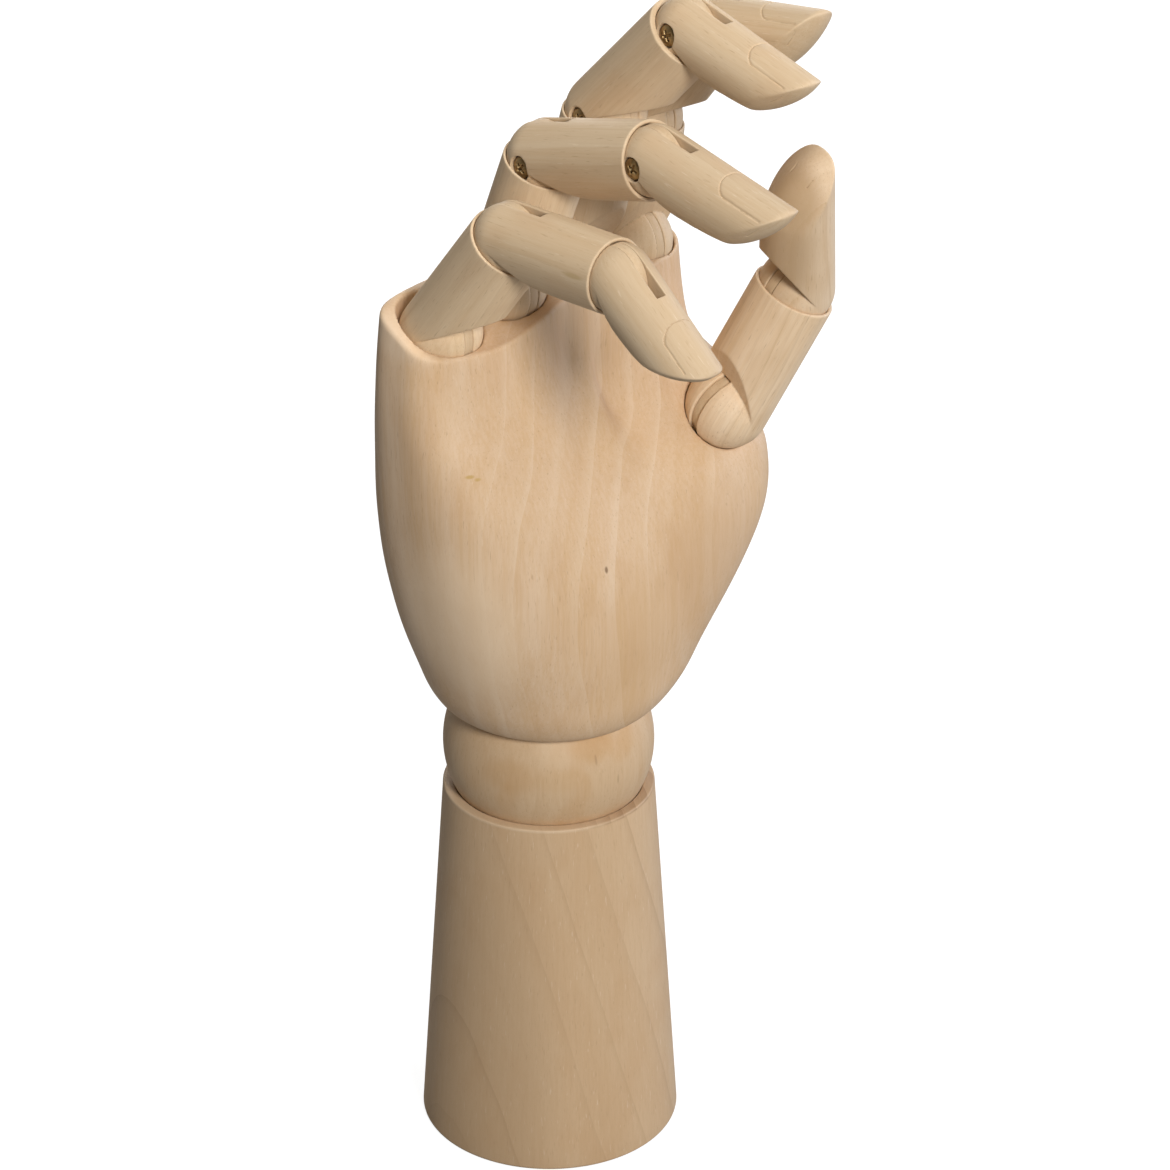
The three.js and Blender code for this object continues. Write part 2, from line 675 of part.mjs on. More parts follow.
// Assembly: forearm, then what turns on it, then the hand about the wrist ball
const object = new THREE.Group();
object.name = 'wooden_hand';
object.add(meshOf(forearmSolid(), 'forearm_base', wood));
const swivel = new THREE.Group();
swivel.name = 'swivel';
object.add(swivel);
swivel.add(meshOf(springSolid(), 'wrist_spring', steel));
swivel.add(meshOf(anchorRodSolid(), 'anchor_rod', steel));
const wrist = new THREE.Group();
wrist.name = 'wrist';
wrist.position.z = ballZ;
swivel.add(wrist);
wrist.add(meshOf(wristBallSolid(), 'wrist_ball', wood));
wrist.add(meshOf(palmSolid(), 'palm', wood));
wrist.add(meshOf(springEyeSolid(), 'spring_eye', steel));
Object.entries(fingers).forEach(([name, at]) => {
  const chain = chainOf(at, ['base', 'mid', 'tip'], ['proximal', 'middle', 'distal'], fingerSeat);
  addChain(wrist, name, fingerFrames[name], chain);
});
addChain(wrist, 'thumb', thumbPlace, chainOf(thumb, ['base', 'tip'], ['proximal', 'distal'], thumbSeat));

export default object;
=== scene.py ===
import math

import bmesh
import bpy
import numpy as np
from mathutils import Matrix, Vector


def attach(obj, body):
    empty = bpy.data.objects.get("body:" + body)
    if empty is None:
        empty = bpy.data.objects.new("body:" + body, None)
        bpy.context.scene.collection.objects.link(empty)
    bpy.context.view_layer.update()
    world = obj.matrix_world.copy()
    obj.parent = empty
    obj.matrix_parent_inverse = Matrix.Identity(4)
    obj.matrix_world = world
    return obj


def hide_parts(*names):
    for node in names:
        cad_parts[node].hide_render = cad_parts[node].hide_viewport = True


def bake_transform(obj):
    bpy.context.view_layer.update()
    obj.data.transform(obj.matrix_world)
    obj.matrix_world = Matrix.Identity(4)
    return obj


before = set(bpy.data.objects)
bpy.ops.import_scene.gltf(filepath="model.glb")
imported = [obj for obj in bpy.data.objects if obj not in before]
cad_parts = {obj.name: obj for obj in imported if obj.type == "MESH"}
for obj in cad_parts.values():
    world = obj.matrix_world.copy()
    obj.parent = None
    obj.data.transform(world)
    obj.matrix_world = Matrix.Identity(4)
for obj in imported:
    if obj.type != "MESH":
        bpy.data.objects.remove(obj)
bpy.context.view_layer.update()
scene = bpy.context.scene
print("frame loaded,", len(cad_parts), "nodes")


# A socket that can be used in sums like a number
class Wire:
    def __init__(self, bench, socket):
        self.bench = bench
        self.socket = socket

    def __add__(self, other):
        return self.bench.math("ADD", self, other)

    def __radd__(self, other):
        return self.bench.math("ADD", other, self)

    def __sub__(self, other):
        return self.bench.math("SUBTRACT", self, other)

    def __rsub__(self, other):
        return self.bench.math("SUBTRACT", other, self)

    def __mul__(self, other):
        return self.bench.math("MULTIPLY", self, other)

    def __rmul__(self, other):
        return self.bench.math("MULTIPLY", other, self)

    def __truediv__(self, other):
        return self.bench.math("DIVIDE", self, other)

    def __rtruediv__(self, other):
        return self.bench.math("DIVIDE", other, self)

    def __pow__(self, other):
        return self.bench.math("POWER", self, other)

    def __neg__(self):
        return self.bench.math("MULTIPLY", self, -1.0)

    def __abs__(self):
        return self.bench.math("ABSOLUTE", self)


# A node tree and the one way of adding nodes to it
class Bench:
    def __init__(self, tree):
        self.tree = tree

    def node(self, kind, settings=None, values=None):
        made = self.tree.nodes.new(kind)
        for name, value in (settings or {}).items():
            if name == "points":
                self.setPoints(made.mapping, value)
            else:
                setattr(made, name, value)
        for key, value in (values or {}).items():
            self.feed(made, key, value)
        return made

    def feed(self, node, key, value):
        if isinstance(value, Wire):
            self.tree.links.new(value.socket, node.inputs[key])
        else:
            node.inputs[key].default_value = value

    def setPoints(self, mapping, points):
        curve = mapping.curves[0]
        while len(curve.points) < len(points):
            curve.points.new(1.0, 1.0)
        for point, place in zip(curve.points, points):
            point.location = place
        mapping.update()

    def wire(self, kind, settings=None, values=None, out=0):
        return Wire(self, self.node(kind, settings, values).outputs[out])

    def math(self, operation, *terms):
        return self.wire("ShaderNodeMath", {"operation": operation}, dict(enumerate(terms)))

    def most(self, a, b, soft=0.0):
        if soft:
            return self.math("SMOOTH_MAX", a, b, soft)
        return self.math("MAXIMUM", a, b)

    def least(self, a, b, soft=0.0):
        if soft:
            return self.math("SMOOTH_MIN", a, b, soft)
        return self.math("MINIMUM", a, b)

    def root(self, value):
        return self.math("SQRT", value)

    def far(self, *sides):
        total = sides[0] * sides[0]
        for side in sides[1:]:
            total = total + side * side
        return self.root(total)

    def step(self, value, low, high):
        values = {"Value": value, "From Min": low, "From Max": high}
        return self.wire("ShaderNodeMapRange", {"interpolation_type": "SMOOTHSTEP"}, values)

    def split(self, vector):
        parts = self.node("ShaderNodeSeparateXYZ", None, {0: vector})
        return [Wire(self, socket) for socket in parts.outputs]

    def join(self, x, y, z):
        return self.wire("ShaderNodeCombineXYZ", None, {0: x, 1: y, 2: z})

    def blend(self, share, a, b):
        a, b = [value if isinstance(value, Wire) else (*value, 1.0) for value in (a, b)]
        return self.wire("ShaderNodeMix", {"data_type": "RGBA"}, {0: share, 6: a, 7: b}, out=2)

    def noise(self, vector, scale, detail=2.0, rough=0.5):
        values = {"Vector": vector, "Scale": scale, "Detail": detail, "Roughness": rough}
        return self.wire("ShaderNodeTexNoise", None, values)


# Stage: camera, light and floor
stageLook = {
    "cameraPlace": (-0.7159, -0.7280, 0.6880),
    "cameraTilt": 61.88,
    "cameraTurn": -45.0,
    "sensor": 36.0,
    "lens": 153.85,
    "clipEnd": 50.0,
    "backdrop": (0.92, 0.92, 0.92),
    "sky": (0.05, 0.05, 0.05),
    "floorHalf": 6.0,
    "floorColour": (0.22, 0.22, 0.22, 1.0),
    "floorRough": 0.9,
    "floorSeen": (0.88, 0.88, 0.88),
    "floorGlow": (0.05, 0.05, 0.05),
    "lightTarget": (0.0, 0.0, 0.16),
    "lights": (
        {"name": "keyLight", "place": (-0.551, -1.181, 0.892), "size": 0.38, "power": 17.6,
         "colour": (1.0, 0.98, 0.95)},
        {"name": "topLight", "place": (0.0, 0.0, 1.65), "size": 0.70, "power": 10.0,
         "colour": (1.0, 0.98, 0.95)},
        {"name": "sideLight", "place": (0.931, -1.110, 0.538), "size": 0.70, "power": 2.2,
         "colour": (1.0, 0.96, 0.90)},
        {"name": "edgeLight", "place": (1.40, -0.375, 0.538), "size": 0.70, "power": 9.2,
         "colour": (0.87, 1.0, 1.26)},
        {"name": "rearLight", "place": (1.02, 1.04, 0.55), "size": 0.90, "power": 8.0,
         "colour": (1.0, 1.0, 1.0)},
        {"name": "backLight", "place": (-0.61, 1.31, 0.538), "size": 0.70, "power": 1.5,
         "colour": (1.0, 1.0, 1.0)},
    ),
}


def addObject(name, data):
    obj = bpy.data.objects.new(name, data)
    scene.collection.objects.link(obj)
    return obj


def newMaterial(name):
    material = bpy.data.materials.new(name)
    material.use_nodes = True
    return material, Bench(material.node_tree), material.node_tree.nodes["Principled BSDF"]


def addLight(sizes, target):
    data = bpy.data.lights.new(sizes["name"], "AREA")
    data.shape = "DISK"
    data.size = sizes["size"]
    data.energy = sizes["power"]
    data.color = sizes["colour"]
    lamp = addObject(sizes["name"], data)
    lamp.location = sizes["place"]
    lamp.rotation_euler = (Vector(target) - lamp.location).to_track_quat("-Z", "Y").to_euler()


# Pale where it is looked at, dim in the light that it throws on the hand
def paleToView(bench, dim, pale):
    seen = bench.wire("ShaderNodeLightPath", None, None, "Is Camera Ray")
    return bench.blend(seen, dim, pale)


def setStage(look):
    camera = addObject("camera", bpy.data.cameras.new("camera"))
    camera.location = look["cameraPlace"]
    camera.rotation_euler = (math.radians(look["cameraTilt"]), 0.0, math.radians(look["cameraTurn"]))
    camera.data.sensor_width = look["sensor"]
    camera.data.lens = look["lens"]
    camera.data.clip_end = look["clipEnd"]
    scene.camera = camera
    scene.view_settings.view_transform = "Standard"
    for sizes in look["lights"]:
        addLight(sizes, look["lightTarget"])
    world = bpy.data.worlds.new("studio")
    world.use_nodes = True
    bench = Bench(world.node_tree)
    sky = paleToView(bench, look["sky"], look["backdrop"])
    bench.feed(world.node_tree.nodes["Background"], "Color", sky)
    scene.world = world
    half = look["floorHalf"]
    corners = [(-half, -half, 0), (half, -half, 0), (half, half, 0), (-half, half, 0)]
    mesh = bpy.data.meshes.new("floor")
    mesh.from_pydata(corners, [], [(0, 1, 2, 3)])
    material, bench, shader = newMaterial("paleFloor")
    bench.feed(shader, "Base Color", look["floorColour"])
    bench.feed(shader, "Roughness", look["floorRough"])
    bench.feed(shader, "Emission Color", paleToView(bench, look["floorGlow"], look["floorSeen"]))
    bench.feed(shader, "Emission Strength", 1.0)
    mesh.materials.append(material)
    addObject("floor", mesh)


setStage(stageLook)
print("stage set")


# Sizes of the wrist, in mm from the underside or from the centre of the ball
wrist = {
    "ballGrow": 0.18,
    "baseRadius": 31.0,
    "forearmHeight": 91.0,
    "baseRound": 0.9,
    "rimRound": 0.5,
    "rimWidth": 2.55,
    "ballRadius": 24.7,
    "ballRise": 11.0,
    "socketGap": 0.3,
    "bore": 6.0,
    "flare": 12.0,
    "flareFoot": 63.0,
    "ballFlare": 12.5,
    "counterbore": 10.0,
    "counterboreDepth": 14.0,
}
ballHeight = wrist["forearmHeight"] + wrist["ballRise"]
socketRadius = wrist["ballRadius"] + wrist["socketGap"]
toMetres = Matrix.Scale(0.001, 4)

# Fits of the finger joints, in mm
fit = {
    "jointGap": 0.3,
    "cupGap": 0.14,
    "seatGap": 0.3,
    "setback": 1.0,
    "rimWall": 0.45,
    "notchAngle": 28.0,
    "thumbNotch": 33.5,
    "tongueRecess": 0.22,
    "thumbRecess": 0.7,
    "slotReach": 10.4,
    "slotSlope": 0.15,
    "skin": 0.06,
    "slotHalf": 1.32,
    "tongueDepth": 8.0,
    "tongueHalf": 4.6,
    "screwHead": 2.45,
    "screwHeight": 1.5,
    "screwRecess": 0.6,
    "rowMiddle": 0.1,
    "rowBack": 3.1,
    "fingerGap": 0.9,
    "rootClearance": 0.3,
}

# Each finger's tint is painted light and shade: paler on the proximal bones, which lie in shade, darker on
# the lit fingertips
fingers = {
    "little": {
        "rise": 114.0, "splay": 1.7, "side": 1,
        "bend": (37.0, 50.5, 39.1), "length": (36.4, 32.5, 31.0), "radius": (9.4, 8.55, 7.7),
        "tint": (1.16, 1.02, 0.90),
    },
    "ring": {
        "rise": 119.3, "splay": 0.5, "side": -1,
        "bend": (21.0, 53.0, 26.6), "length": (36.7, 34.3, 38.7), "radius": (9.65, 8.9, 7.95),
        "tint": (1.10, 1.02, 0.95),
    },
    "middle": {
        "rise": 119.5, "splay": 4.1, "side": -1,
        "bend": (13.4, 29.1, 60.6), "length": (38.3, 34.5, 36.5), "radius": (9.7, 9.2, 7.68),
        "tint": (1.06, 1.05, 1.02),
    },
    "index": {
        "rise": 117.0, "splay": 4.2, "side": -1,
        "bend": (2.3, 34.2, 43.2), "length": (30.5, 32.3, 34.0), "radius": (9.45, 9.0, 8.0),
        "tint": (1.06, 1.02, 1.0),
    },
}
thumb = {
    "root": (34.8, -23.4, 82.6),
    "along": (0.265, -0.354, 0.897),
    "hinge": (-0.148, -0.934, -0.325),
    "seatTilt": 48.0, "side": -1,
    "bend": (0.0, 33.1), "length": (34.5, 40.4), "radius": (9.79, 8.8),
    "tint": (1.06, 0.98),
}


# Fingertips: straight back, domed pad, nail line
tipShape = {
    "taper": 0.90, "bevel": 3.08, "curve": 1.4, "edge": 0.86, "endSoft": 2.6,
    "dome": 0.6, "domeShare": 0.9, "domeSoft": 0.6, "halfLeast": 0.2,
    "padStart": 0.09, "padSoft": 0.7, "padSlope": 0.8, "padLead": 0.2,
    "nailWidth": 0.66, "thumbNail": 0.34, "nailCorner": 0.75, "nailStart": 0.54, "nailEnd": 3.5,
    "lineWidth": 0.26, "lineDepth": 0.22,
}


def rowPlaces():
    def step(a, b):
        return fingers[a]["radius"][0] + fingers[b]["radius"][0] + fit["fingerGap"]
    ring = fit["rowMiddle"] - step("ring", "middle") / 2
    middle = fit["rowMiddle"] + step("ring", "middle") / 2
    return {"little": ring - step("little", "ring"), "ring": ring, "middle": middle,
            "index": middle + step("middle", "index")}


# Frame of each root, from the centre of the wrist ball
def rootFrames():
    frames = {}
    for name, place in rowPlaces().items():
        turn = Matrix.Rotation(math.radians(fingers[name]["splay"]), 4, "Y")
        frames[name] = Matrix.Translation((place, fit["rowBack"], fingers[name]["rise"])) @ turn
    along = Vector(thumb["along"]).normalized()
    hinge = Vector(thumb["hinge"])
    hinge = (hinge - along * hinge.dot(along)).normalized()
    turn = Matrix((hinge, along.cross(hinge), along)).transposed().to_4x4()
    frames["thumb"] = Matrix.Translation(thumb["root"]) @ turn
    return frames


roots = rootFrames()
fingerSeat = Matrix.Identity(4)
thumbSeat = Matrix.Rotation(math.radians(thumb["seatTilt"]), 4, "X")
wristPlace = Matrix.Translation((0.0, 0.0, ballHeight))


# Every phalanx with its own frame, that of its tongue and the sizes that shape it
def chainOf(name, sizes, labels, bones):
    place = wristPlace @ roots[name]
    chain = []
    for i, (label, bone) in enumerate(zip(labels, bones)):
        bent = place @ Matrix.Rotation(math.radians(sizes["bend"][i]), 4, "X")
        last = i + 1 == len(bones)
        thumbRoot = name == "thumb" and i == 0
        chain.append({
            "bone": name + "_" + bone,
            "tongue": name + "_" + label + "_tongue",
            "screw": name + "_" + label + "_screw",
            "tongueBody": "palm" if i == 0 else name + "_" + bones[i - 1],
            "frame": bent,
            "tongueFrame": place @ (thumbSeat if thumbRoot else fingerSeat),
            "radius": sizes["radius"][i],
            "next": None if last else sizes["radius"][i + 1],
            "length": sizes["length"][i],
            "side": sizes["side"],
            "notch": fit["thumbNotch" if thumbRoot else "notchAngle"],
            "nail": tipShape["thumbNail" if name == "thumb" else "nailWidth"],
            "tint": sizes["tint"][i],
            "recess": fit["thumbRecess" if thumbRoot else "tongueRecess"],
        })
        place = bent @ Matrix.Translation((0.0, 0.0, sizes["length"][i]))
    return chain


chains = {name: chainOf(name, sizes, ("base", "mid", "tip"), ("proximal", "middle", "distal"))
          for name, sizes in fingers.items()}
chains["thumb"] = chainOf("thumb", thumb, ("base", "tip"), ("proximal", "distal"))
bones = [bone for chain in chains.values() for bone in chain]


# Geometry Nodes: a solid given as a field of distances, in mm, becomes a mesh
def newTree(name, sizes):
    tree = bpy.data.node_groups.new(name, "GeometryNodeTree")
    for label, value in sizes.items():
        socket = tree.interface.new_socket(label, in_out="INPUT", socket_type="NodeSocketFloat")
        socket.default_value = value
    tree.interface.new_socket("Material", in_out="INPUT", socket_type="NodeSocketMaterial")
    tree.interface.new_socket("Mesh", in_out="OUTPUT", socket_type="NodeSocketGeometry")
    bench = Bench(tree)
    given = bench.node("NodeGroupInput")
    wires = {label: Wire(bench, given.outputs[label]) for label in (*sizes, "Material")}
    return bench, wires, bench.split(bench.wire("GeometryNodeInputPosition"))


def carveField(bench, given, field, low, high):
    sizes = [(high[k] - low[k]) / given["Voxel"] for k in range(3)]
    values = {"Density": -field, "Background": -2.0, "Min": bench.join(*low), "Max": bench.join(*high)}
    for axis, count in zip("XYZ", sizes):
        values["Resolution " + axis] = bench.math("CEIL", count)
    volume = bench.wire("GeometryNodeVolumeCube", None, values)
    return bench.wire("GeometryNodeVolumeToMesh", None, {"Volume": volume, "Threshold": 0.0})


def closeTree(bench, given, mesh):
    smooth = bench.wire("GeometryNodeSetShadeSmooth", None, {"Geometry": mesh})
    real = bench.wire("GeometryNodeRealizeInstances", None, {"Geometry": smooth})
    done = bench.wire("GeometryNodeSetMaterial", None, {"Geometry": real, "Material": given["Material"]})
    bench.node("NodeGroupOutput", None, {"Mesh": done})
    return bench.tree


# Keeps what an object's modifiers make as a plain mesh
def settle(obj):
    depsgraph = bpy.context.evaluated_depsgraph_get()
    mesh = bpy.data.meshes.new_from_object(obj.evaluated_get(depsgraph))
    obj.modifiers.clear()
    seed = obj.data
    obj.data = mesh
    bpy.data.meshes.remove(seed)
    return mesh


# Runs a tree with its inputs and puts the result in its place
def runTree(name, tree, inputs, place):
    obj = addObject(name + "_piece", bpy.data.meshes.new(name + "_seed"))
    modifier = obj.modifiers.new("shape", "NODES")
    modifier.node_group = tree
    for item in tree.interface.items_tree:
        if item.in_out == "INPUT" and item.name in inputs:
            modifier[item.identifier] = inputs[item.name]
    mesh = settle(obj)
    mesh.name = name + "_mesh"
    mesh.transform(toMetres @ place)
    return obj


# Thins a fine mesh to a number of triangles, most where it is flat
def thin(obj, most):
    count = sum(len(face.vertices) - 2 for face in obj.data.polygons)
    if count <= most:
        return
    modifier = obj.modifiers.new("thin", "DECIMATE")
    modifier.ratio = most / count
    settle(obj).shade_smooth()


# Makes a piece of a finished bmesh, in its place, with sharp edges past an angle if one is given
def pieceFrom(shaped, name, material, place=Matrix.Identity(4), sharp=None):
    bmesh.ops.recalc_face_normals(shaped, faces=shaped.faces)
    mesh = bpy.data.meshes.new(name + "_mesh")
    shaped.to_mesh(mesh)
    shaped.free()
    mesh.transform(toMetres @ place)
    mesh.materials.append(material)
    mesh.shade_smooth()
    if sharp:
        mesh.set_sharp_from_angle(angle=math.radians(sharp))
    return addObject(name + "_piece", mesh)


# Faces between rings of points, all the way round each ring
def skinRings(shaped, rings, closed):
    following = rings[1:] + rings[:1] if closed else rings[1:]
    for a, b in zip(rings, following):
        for k in range(len(a)):
            j = (k + 1) % len(a)
            shaped.faces.new((a[k], a[j], b[j], b[k]))


def standFor(obj, node, body):
    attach(obj, body)
    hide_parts(node)


def readValues(items, key, width, kind):
    values = np.zeros(len(items) * width, kind)
    items.foreach_get(key, values)
    return values.reshape(-1, width)


# Marks convex edges with positive and creases with negative values, for wear with a painted highlight on
# the edges and painted shade in the creases
def markEdges(obj, gain, rounds=2):
    mesh = obj.data
    count = len(mesh.vertices)
    place = readValues(mesh.vertices, "co", 3, np.float32) * 1000.0
    normal = readValues(mesh.vertex_normals, "vector", 3, np.float32)
    a, b = readValues(mesh.edges, "vertices", 2, np.int32).T
    along = place[b] - place[a]
    bend = ((normal[b] - normal[a]) * along).sum(1) / np.maximum((along * along).sum(1), 1e-4)
    number = np.bincount(a, minlength=count) + np.bincount(b, minlength=count)
    number = np.maximum(number, 1)
    value = (np.bincount(a, bend, count) + np.bincount(b, bend, count)) / number
    for _ in range(rounds):
        near = np.bincount(a, value[b], count) + np.bincount(b, value[a], count)
        value = 0.5 * value + 0.5 * near / number
    mark = mesh.attributes.new("edgeMark", "FLOAT", "POINT")
    mark.data.foreach_set("value", np.clip(value * gain, -1.0, 1.0).astype(np.float32))


coarse = 1.0


# Wood: growth rings about a far pith, fibres along the grain, flecks, ticks and mottling
woodLook = {
    "palm": {
        "pale": (0.712, 0.527, 0.360), "mid": (0.625, 0.408, 0.218), "dark": (0.400, 0.240, 0.125),
        "line": (0.790, 0.635, 0.475), "lineShare": 0.50, "lineEdge": 2.5,
        "warm": (0.550, 0.340, 0.180), "figure": 0.24, "flecks": 0.34, "ticks": 0.20,
    },
    "forearm": {
        "pale": (0.635, 0.455, 0.282), "mid": (0.585, 0.395, 0.228), "dark": (0.390, 0.240, 0.130),
        "line": (0.410, 0.255, 0.135), "lineShare": 0.44, "lineEdge": 12.0,
        "warm": (0.545, 0.340, 0.180), "figure": 0.24, "flecks": 0.26, "ticks": 0.28,
    },
    "ball": {
        "pale": (0.650, 0.475, 0.300), "mid": (0.590, 0.400, 0.230), "dark": (0.380, 0.220, 0.110),
        "line": (0.400, 0.240, 0.120), "lineShare": 0.08, "lineEdge": 9.0,
        "warm": (0.560, 0.325, 0.145), "figure": 0.30, "flecks": 0.30, "ticks": 0.15,
    },
    "finger": {
        "pale": (0.670, 0.520, 0.348), "mid": (0.600, 0.435, 0.265), "dark": (0.430, 0.280, 0.155),
        "line": (0.450, 0.295, 0.165), "lineShare": 0.16, "lineEdge": 4.0,
        "warm": (0.580, 0.380, 0.215), "figure": 0.26, "flecks": 0.42, "ticks": 0.26,
    },
    # Thumb: paler than the fingers, partly its own paler wood, partly painted light where it lies in shade
    "thumb": {
        "pale": (0.800, 0.630, 0.450), "mid": (0.710, 0.515, 0.320), "dark": (0.430, 0.280, 0.150),
        "line": (0.500, 0.320, 0.165), "lineShare": 0.30, "lineEdge": 3.0,
        "warm": (0.580, 0.380, 0.200), "figure": 0.30, "flecks": 0.40, "ticks": 0.20,
    },
    # Convex edges paler, for wear and a painted highlight; creases darker, painted shade
    "wearAndHighlight": (0.78, 0.62, 0.44), "paintedShade": (0.24, 0.14, 0.07), "tick": (0.84, 0.72, 0.56),
    "wearAndHighlightShare": 0.24, "paintedShadeShare": 0.30,
    "rough": 0.56, "bump": 0.25, "bumpDistance": 0.00012, "shine": 0.36,
}

# Noises in the wood: change per mm across and along the grain, axis of the seed, detail, roughness
woodNoise = {
    "slow": (0.025, 0.009, 0, 2.0, 0.5),
    "quick": (0.06, 0.022, 1, 3.0, 0.5),
    "streak": (1.3, 0.030, 0, 3.0, 0.62),
    "fine": (6.0, 0.14, 1, 2.0, 0.6),
    "mottle": (0.06, 0.03, 0, 3.0, 0.55),
    "flecks": (3.4, 0.30, 0, 1.0, 0.4),
    "ticks": (2.6, 0.26, 1, 1.0, 0.4),
    "figure": (0.13, 0.07, 1, 1.0, 0.5),
}

# Values at which each mask begins and is full
woodMask = {
    "lines": (0.38, 0.66), "bands": (0.34, 0.66), "streak": (0.34, 0.68), "mottle": (0.30, 0.70),
    "flecks": (0.66, 0.76), "ticks": (0.69, 0.78), "figure": (0.50, 0.72), "fine": (0.5, 0.8),
    "stainAndPaintedLight": (0.45, 1.15), "wearAndHighlight": (0.15, 0.85), "paintedShade": (0.12, 0.80), "right": (6.0, 26.0),
}

# Growth rings, and what each layer adds to the tone, the roughness and the height of the surface
woodRings = {"sway": 1.4, "lineScale": 0.9, "lineAlong": 0.004, "across": 0.9, "along": 0.003, "rough": 0.6}
woodTone = {"bands": 0.38, "saw": 0.08, "streak": 0.34, "mottle": 0.24, "fine": 0.22}
woodRough = {"streak": 0.10, "lines": -0.06, "flecks": 0.08}
woodHeight = {"streak": 0.5, "fine": 0.35, "flecks": -0.9, "lines": 0.2}

# Cut end of the forearm: painted light makes the left of its rim pale where it lies in shade; hatched with
# dark rings on the right
endCut = {"below": 0.9, "soft": 0.5, "hatch": 3.6, "least": 0.4, "paintedLightShare": 0.30, "darkShare": 0.9}

# Stains, ticks, painted light and painted shade on single pieces, in mm in the frame of the grain: place,
# size, colour, share
woodMarks = {
    "palm": (
        ((-36.6, -12.7, 86.0), (1.2, 1.2, 0.5), (0.52, 0.33, 0.09), 0.75),
        ((-35.0, -13.4, 85.2), (0.9, 0.9, 0.5), (0.52, 0.33, 0.09), 0.70),
        ((-8.3, -27.1, 57.6), (0.55, 0.8, 1.0), (0.16, 0.08, 0.03), 0.75),
        ((24.0, -30.0, 48.0), (17.0, 18.0, 22.0), (0.585, 0.375, 0.205), 0.40),
        ((0.0, -28.0, 34.0), (11.0, 14.0, 26.0), (0.600, 0.385, 0.195), 0.45),
        # Painted light: a pale patch on the lower left of the palm, which lies in shade
        ((-40.0, -9.0, 42.0), (17.0, 20.0, 30.0), (0.880, 0.680, 0.470), 0.60),
        # Painted highlight on the rim beside the little finger's socket
        ((-41.0, 4.0, 116.0), (8.0, 13.0, 6.0), (0.800, 0.630, 0.455), 0.40),
    ),
    "thumb_distal": (
        # Darker tan on the pad side of the thumb tip: partly the wood's own warmer tone, partly painted
        # shade
        ((2.0, -3.0, 34.0), (9.0, 7.0, 9.0), (0.490, 0.335, 0.190), 0.80),
        ((3.0, -8.0, 20.0), (13.0, 9.0, 20.0), (0.490, 0.335, 0.190), 0.75),
    ),
    "little_middle": (
        ((-7.8, 1.3, 27.0), (3.0, 0.7, 3.4), (0.460, 0.310, 0.130), 0.55),
    ),
    "forearm": (
        # Painted shade: the forearm's left side darker, where the light falls off
        ((-30.0, -8.0, 28.0), (16.0, 24.0, 60.0), (0.430, 0.290, 0.165), 0.36),
    ),
    "ball": (
        ((-14.0, -17.8, 9.0), (7.0, 8.0, 5.0), (0.720, 0.555, 0.375), 0.32),
        ((-7.4, -21.5, 9.4), (6.0, 7.0, 5.0), (0.530, 0.295, 0.115), 0.46),
        ((-22.3, -9.9, 2.4), (7.0, 8.0, 5.0), (0.510, 0.290, 0.120), 0.34),
        ((2.3, -23.3, 8.0), (3.6, 4.0, 4.2), (0.540, 0.320, 0.140), 0.30),
        ((-15.1, -19.1, 2.0), (7.0, 7.0, 3.4), (0.550, 0.330, 0.140), 0.18),
        ((-7.3, -22.7, 5.6), (0.40, 0.9, 1.9), (0.300, 0.170, 0.080), 0.36),
        ((-1.8, -24.4, -0.5), (0.40, 0.9, 1.6), (0.300, 0.170, 0.080), 0.36),
    ),
}


